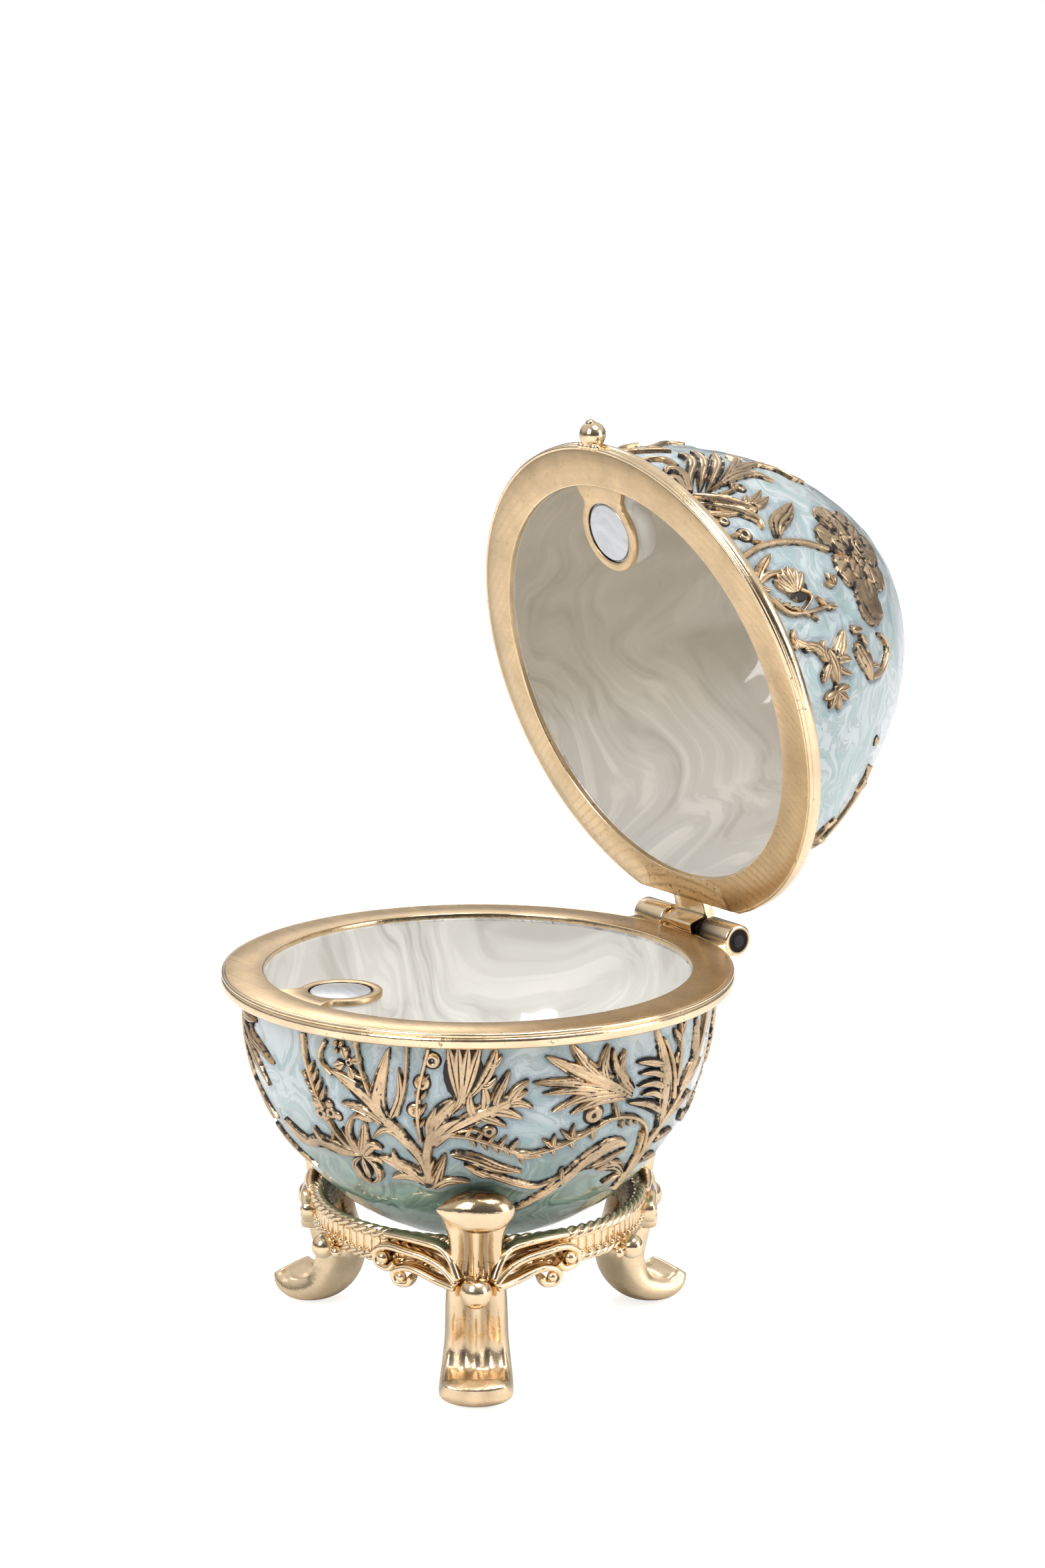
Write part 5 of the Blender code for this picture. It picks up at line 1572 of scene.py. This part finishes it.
class STAND_OT_collar(bpy.types.Operator):
    """The collar: two ropes, a gallery of bars and a knurled inside"""
    bl_idname = "stand.collar"
    bl_label = "Collar"

    BAND_OUTSIDE = 14.0 * MM
    BAND_INSIDE = 13.02 * MM
    BAND_HALF = 1.3 * MM

    def execute(self, context):
        stand = context.scene.stand_settings
        radius = stand.rope_radius
        bm = rope(radius, ROPE_TOP, 0.54 * MM, stand.rope_twists)
        absorb(bm, rope(radius - 0.05 * MM, ROPE_BOTTOM, 0.44 * MM, stand.rope_twists + 12))
        bar = bmesh.new()
        block(bar, (radius - 0.42 * MM, -0.33 * MM, ROPE_BOTTOM + 0.3 * MM),
              (radius + 0.16 * MM, 0.33 * MM, ROPE_TOP - 0.3 * MM), 0.14 * MM)
        absorb(bm, gallery(bar, 360 / stand.bars))
        bead = bmesh.new()
        ball(bead, Vector((radius + 0.18 * MM, 0, ROPE_BOTTOM + 0.42 * MM)), 0.26 * MM,
             sides=10)
        absorb(bm, gallery(bead, 360 / stand.bars))
        # Halfway between each two legs, a knob hangs from the collar between two small ones.
        for angle in LEG_ANGLES:
            turn = Matrix.Rotation(math.radians(angle + 60), 4, "Z")
            ball(bm, turn @ (Vector((15.1, 0, -22.7)) * MM), 1.05 * MM, sides=32)
            for across in (-1.15, 1.15):
                ball(bm, turn @ (Vector((14.5, across, -23.0)) * MM), 0.5 * MM, sides=20)
        add_to_stand("stand_collar", bm, ["stand"], sharp=60)

        # The knurled band between the ropes shows on its inside.
        middle = ROPE_TOP - self.BAND_HALF

        def shape(turn, share):
            if 0.1 <= share <= 0.9:
                height = middle + self.BAND_HALF * (share - 0.5) / 0.4
                knurl = math.sin(turn * 84) * math.sin(height / (0.2 * MM))
                out = self.BAND_INSIDE * (1 + 0.009 * knurl)
            else:
                end = (1 if share > 0.5 else -1) * (share not in (0, 1))
                out, height = self.BAND_OUTSIDE, middle + self.BAND_HALF * end
            return Vector((out * math.cos(turn), out * math.sin(turn), height))
        band = bmesh.new()
        wrapped(band, 504, 20, shape)
        # The band's inside takes the painted-shade gilding.
        for face in band.faces:
            face.material_index = int(face.calc_center_median().xy.length > 13.6 * MM)
        add_to_stand("collar_band", band, ["gallery", "stand"], sharp=60)
        return {"FINISHED"}


# Stations down a leg: distance from the axis, height under the rim face, thickness across
# the path, width, how far the ridge down the middle stands up, and the channel's depth.
LEG_STATIONS = (
    (17.3, -16.2, 2.0, 6.2, 0.9, 0.40), (16.5, -17.3, 2.0, 5.7, 1.0, 0.60),
    (15.95, -18.6, 2.2, 4.9, 1.0, 0.80), (15.6, -20.0, 2.5, 4.6, 1.0, 0.85),
    (15.3, -21.6, 2.8, 4.8, 1.0, 0.80), (15.2, -23.4, 3.2, 5.1, 1.0, 0.60),
    (14.9, -25.0, 3.3, 5.3, 1.0, 0.70), (14.4, -26.6, 3.4, 5.4, 1.0, 0.75),
    (14.05, -28.2, 3.4, 5.5, 0.95, 0.75), (14.4, -29.8, 3.2, 5.8, 0.8, 0.70),
    (15.4, -31.2, 2.8, 6.2, 0.6, 0.60), (16.9, -31.8, 2.5, 6.4, 0.4, 0.45),
    (18.3, -31.8, 2.3, 6.3, 0.1, 0.35), (19.3, -31.2, 2.0, 5.9, 0.0, 0.20),
    (19.8, -30.4, 1.3, 5.0, 0.0, 0.0),
)
LEG_ROWS = 56
# The leg's back: places across it, as shares of half the width and of the thickness.
LEG_BACK = ((0.93, -0.19), (0.71, -0.35), (0.38, -0.46), (0.0, -0.5), (-0.38, -0.46),
            (-0.71, -0.35), (-0.93, -0.19))


def leg_rings():
    """Sections whose outer face is a channel between rolled edges, with a ridge in it."""
    rings = []
    for row in range(LEG_ROWS + 1):
        share = row / LEG_ROWS
        radius, height, thick, wide, ridge, channel = smooth_path(LEG_STATIONS, share)
        before = smooth_path(LEG_STATIONS, max(share - 0.01, 0.0))
        after = smooth_path(LEG_STATIONS, min(share + 0.01, 1.0))
        along = Vector((after[0] - before[0], after[1] - before[1])).normalized()
        out = Vector((-along.y, along.x))
        section = []
        for step in range(-9, 10):
            side = step / 9
            # The edges roll back over the outer quarter, and the channel lies between them.
            rounded = max(abs(side) - 0.74, 0.0) / 0.26
            sunk = 1 / (1 + math.exp((abs(side) - 0.55) / 0.08))
            depth = thick * 0.5 * math.sqrt(1 - rounded ** 2)
            depth -= channel * (sunk - 1.1 * ridge * hump(side, 0.20))
            section.append((side, depth))
        section += [(side, depth * thick) for side, depth in LEG_BACK]
        ring = []
        for side, depth in section:
            spot = Vector((radius, height)) + out * depth
            ring.append(Vector((spot.x, side * wide / 2, max(spot.y, FLOOR))) * MM)
        rings.append(ring)
    return rings


def add_head(bm):
    """The rolled head: an almond bolster that leans on the bowl."""
    for vert in ball(bm, Vector((0, 0, 0)), 1.0, sides=48):
        across = clamped(vert.co.y, -1.0)
        blunt = across > 0
        full = (1 - abs(across) ** (2.6 if blunt else 1.6)) ** (0.6 if blunt else 0.75)
        ring = math.hypot(vert.co.x, vert.co.z)
        x, z = (vert.co.x / ring, vert.co.z / ring) if ring > 1e-6 else (0.0, 0.0)
        vert.co = Vector((17.45 + 1.72 * full * x, 3.25 * across,
                          -16.2 + (1.7 if z > 0 else 1.95) * full * z)) * MM


# Ribbons on each side of a leg: across, distance from the axis and height, in order.
RIBBONS = (
    ((1.5, 17.1, -22.5), (2.1, 16.6, -21.0), (3.0, 15.9, -20.2), (4.6, 15.4, -19.95),
     (6.4, 15.0, -19.9), (7.8, 14.7, -20.0)),
    ((1.6, 17.1, -22.9), (2.76, 16.4, -21.8), (4.2, 15.8, -21.2), (5.8, 15.5, -20.95),
     (7.4, 15.3, -20.8), (8.5, 15.2, -21.4), (8.4, 15.2, -22.4), (7.5, 15.3, -22.7),
     (6.9, 15.3, -22.1)),
    ((1.8, 17.0, -23.2), (3.4, 16.2, -22.9), (5.0, 15.7, -22.4), (6.1, 15.5, -22.35),
     (7.0, 15.4, -22.9), (6.7, 15.4, -23.7), (5.8, 15.5, -23.7), (5.5, 15.5, -23.1)),
)
# Round rolls in the ribbons' curls: across, distance from the axis, height and radius.
KNOBS = ((7.8, 14.95, -21.9, 0.62), (6.3, 15.2, -23.2, 0.5))


def beside_leg(side, across, reach, height):
    """A point so far across from a leg's middle plane, at a distance from the axis."""
    return Vector((math.sqrt(reach * reach - across * across), side * across, height)) * MM


def squared(value):
    """A circle's coordinate, pushed out to fill the corners of its square a little."""
    return math.copysign(abs(value) ** 0.7, value)


def ribbon_rings(side, points):
    """A ribbon on edge that leaves the ball and runs along the collar to its curl."""
    rows = 7 * (len(points) - 1)
    spots = [beside_leg(side, *smooth_path(points, row / rows)) for row in range(rows + 1)]
    rings = []
    for index, spot in enumerate(spots):
        before, after = spots[max(index - 1, 0)], spots[min(index + 1, rows)]
        along = (after - before).normalized()
        outward = Vector((spot.x, spot.y, 0)).normalized()
        outward = (outward - along * along.dot(outward)).normalized()
        across = along.cross(outward)
        thick = (0.38 - 0.04 * index / rows) * MM
        deep = (0.85 - 0.1 * index / rows) * MM
        ring = []
        for corner in range(12):
            turn = math.tau * corner / 12
            ring.append(spot + across * thick * squared(math.cos(turn))
                        + outward * (deep * squared(math.sin(turn)) - 0.6 * MM))
        rings.append(ring)
    return rings


class STAND_OT_legs(bpy.types.Operator):
    """Three cabriole legs with rolled heads, balls and ribbon scrolls"""
    bl_idname = "stand.legs"
    bl_label = "Legs"

    def execute(self, context):
        for number, angle in enumerate(LEG_ANGLES, 1):
            leg = bmesh.new()
            sweep(leg, leg_rings())
            patina = patina_and_shade_layer(leg)
            leg.normal_update()
            for vert in leg.verts:
                side, height = abs(vert.co.y) / (2.4 * MM), vert.co.z / MM
                # The channel's sides beside the ridge are dark: patina, deepened with painted dark
                # reflections.
                if vert.normal.x > 0.2:
                    high = clamped((height + 30.0) / 5.0, 0.5)
                    vert[patina] = 0.9 * high * hump(side - 0.34, 0.15)
                # Painted shade: the upper part of the leg's back, which faces the egg's axis under
                # the collar.
                elif vert.normal.x < -0.5:
                    vert[patina] = 1.15 * clamped((height + 27.0) / 3.0)
            soften(add_to_stand(f"leg_{number}", leg, ["stand"], sharp=180, turn=angle))

            trim = bmesh.new()
            add_head(trim)
            ball(trim, Vector((17.2, 0, -23.4)) * MM, 1.37 * MM, sides=40)
            patina = patina_and_shade_layer(trim)
            # Painted shade: the head is darkened on top, under the bowl it leans on, and in the
            # crease where it meets the neck.
            for vert in trim.verts:
                height = vert.co.z / MM
                vert[patina] = max(clamped((height + 15.9) / 1.2), hump(height + 18.2, 0.4))
            add_to_stand(f"leg_{number}_head", trim, ["stand"], turn=angle)

            ribbons = bmesh.new()
            for side in (-1, 1):
                for points in RIBBONS:
                    sweep(ribbons, ribbon_rings(side, points))
                for *place, size in KNOBS:
                    ball(ribbons, beside_leg(side, *place), size * MM, sides=16)
            soften(add_to_stand(f"leg_{number}_scrolls", ribbons, ["stand"], sharp=180,
                                turn=angle))
        return {"FINISHED"}


# ---------------------------------------------------------------- stage

# Each light's name, place from the egg's centre, size in metres and watts.
LIGHTS = (
    ("Left", (0.13, -0.42, 0.33), (0.20, 0.30), 1.5),
    ("Right", (0.42, 0.30, 0.16), (0.25, 0.40), 0.75),
    ("Top", (0.20, 0.06, 0.52), (0.28, 0.28), 1.7),
    ("Back", (-0.42, 0.17, 0.36), (0.20, 0.20), 0.35),
)


class EGG_OT_stage(bpy.types.Operator):
    """Camera, floor, world and lights"""
    bl_idname = "egg.stage"
    bl_label = "Stage"

    def put(self, name, data, place, facing):
        """A camera or a light that looks along a direction."""
        obj = bpy.data.objects.new(name, data)
        obj.location = place
        obj.rotation_euler = facing.to_track_quat("-Z", "Y").to_euler()
        bpy.context.scene.collection.objects.link(obj)
        return obj

    def floor(self, scene):
        """A wide pale floor that glows a little for the camera alone."""
        bm = bmesh.new()
        bmesh.ops.create_circle(bm, cap_ends=True, segments=96, radius=4.0)
        mesh = bpy.data.meshes.new("floor")
        bm.to_mesh(mesh)
        bm.free()
        floor = bpy.data.objects.new("floor", mesh)
        scene.collection.objects.link(floor)
        mat = bpy.data.materials.new("Pale floor")
        mat.use_nodes = True
        build = Nodes(mat.node_tree)
        seen = build.add("ShaderNodeLightPath")["Is Camera Ray"]
        build.fill(mat.node_tree.nodes["Principled BSDF"],
                   {"Base Color": (0.90, 0.90, 0.90), "Roughness": 0.7,
                    "Emission Color": (1.0, 1.0, 1.0),
                    "Emission Strength": build.times(seen, 0.75)})
        mesh.materials.append(mat)

    def world(self, scene):
        """White for the camera; for the object, a studio that is dim on the camera's side."""
        world = bpy.data.worlds.new("Studio")
        scene.world = world
        world.use_nodes = True
        build = Nodes(world.node_tree)
        where = build.add("ShaderNodeTexCoord")["Generated"]
        height = build.plus(build.times(build.split(where)["Z"], 0.5), 0.5)
        rise = build.ramp(height, (0.46, 0.42), (0.52, 0.16), (0.58, 0.30), (0.70, 0.80),
                          (1.0, 0.95))
        facing = build.vector("DOT_PRODUCT", where, (0.81, -0.586, 0.0))["Value"]
        dim = build.ramp(build.plus(build.times(facing, 0.5), 0.5), (0.0, 1.0), (0.55, 0.85),
                         (0.92, 0.20))
        sky = build.mix(1.0, rise, dim, "MULTIPLY")
        ray = build.add("ShaderNodeLightPath")["Is Camera Ray"]
        build.fill(world.node_tree.nodes["Background"],
                   {"Color": build.mix(ray, sky, (1.0, 1.0, 1.0)), "Strength": 1.0})

    def execute(self, context):
        scene = context.scene
        data = bpy.data.cameras.new("Camera")
        data.lens, data.sensor_width = 84.06, 36.0
        data.clip_start = 0.01
        scene.camera = self.put("Camera", data, AXIS + Vector((0.24822, -0.17500, 0.07954)),
                                Vector((-0.79273, 0.57390, -0.20548)))
        self.floor(scene)
        self.world(scene)
        target = AXIS + Vector((0, 0, 0.005))
        for name, place, size, watts in LIGHTS:
            data = bpy.data.lights.new(name, "AREA")
            data.shape = "RECTANGLE"
            data.size, data.size_y = size
            data.energy = watts
            self.put(name, data, AXIS + Vector(place), target - (AXIS + Vector(place)))
        scene.view_settings.view_transform = "Standard"
        return {"FINISHED"}


class EGG_PT_panel(bpy.types.Panel):
    """A button for each step, in the order in which they run"""
    bl_idname = "EGG_PT_panel"
    bl_label = "Trinket Box"
    bl_space_type = "VIEW_3D"
    bl_region_type = "UI"
    bl_category = "Trinket Box"

    def draw(self, context):
        for step in STEPS:
            self.layout.operator(step)


STEPS = ("egg.stage", "egg.rims", "egg.enamel", "egg.lining", "egg.hinge", "egg.magnets",
         "stand.collar", "stand.legs")
CLASSES = (EggSettings, StandSettings, FinishSettings, EGG_OT_enamel, EGG_OT_lining,
           EGG_OT_rims, EGG_OT_hinge, EGG_OT_magnets, STAND_OT_collar, STAND_OT_legs,
           EGG_OT_stage, EGG_PT_panel)


def register():
    """Adds the classes and the three groups of settings."""
    for cls in CLASSES:
        bpy.utils.register_class(cls)
    bpy.types.Scene.egg_settings = PointerProperty(type=EggSettings)
    bpy.types.Scene.stand_settings = PointerProperty(type=StandSettings)
    bpy.types.Scene.finish_settings = PointerProperty(type=FinishSettings)


def unregister():
    """Takes them away again."""
    del bpy.types.Scene.egg_settings
    del bpy.types.Scene.stand_settings
    del bpy.types.Scene.finish_settings
    for cls in reversed(CLASSES):
        bpy.utils.unregister_class(cls)


def main():
    """Builds the whole scene."""
    register()
    for step in STEPS:
        family, action = step.split(".")
        getattr(getattr(bpy.ops, family), action)()


if __name__ == "__main__":
    main()
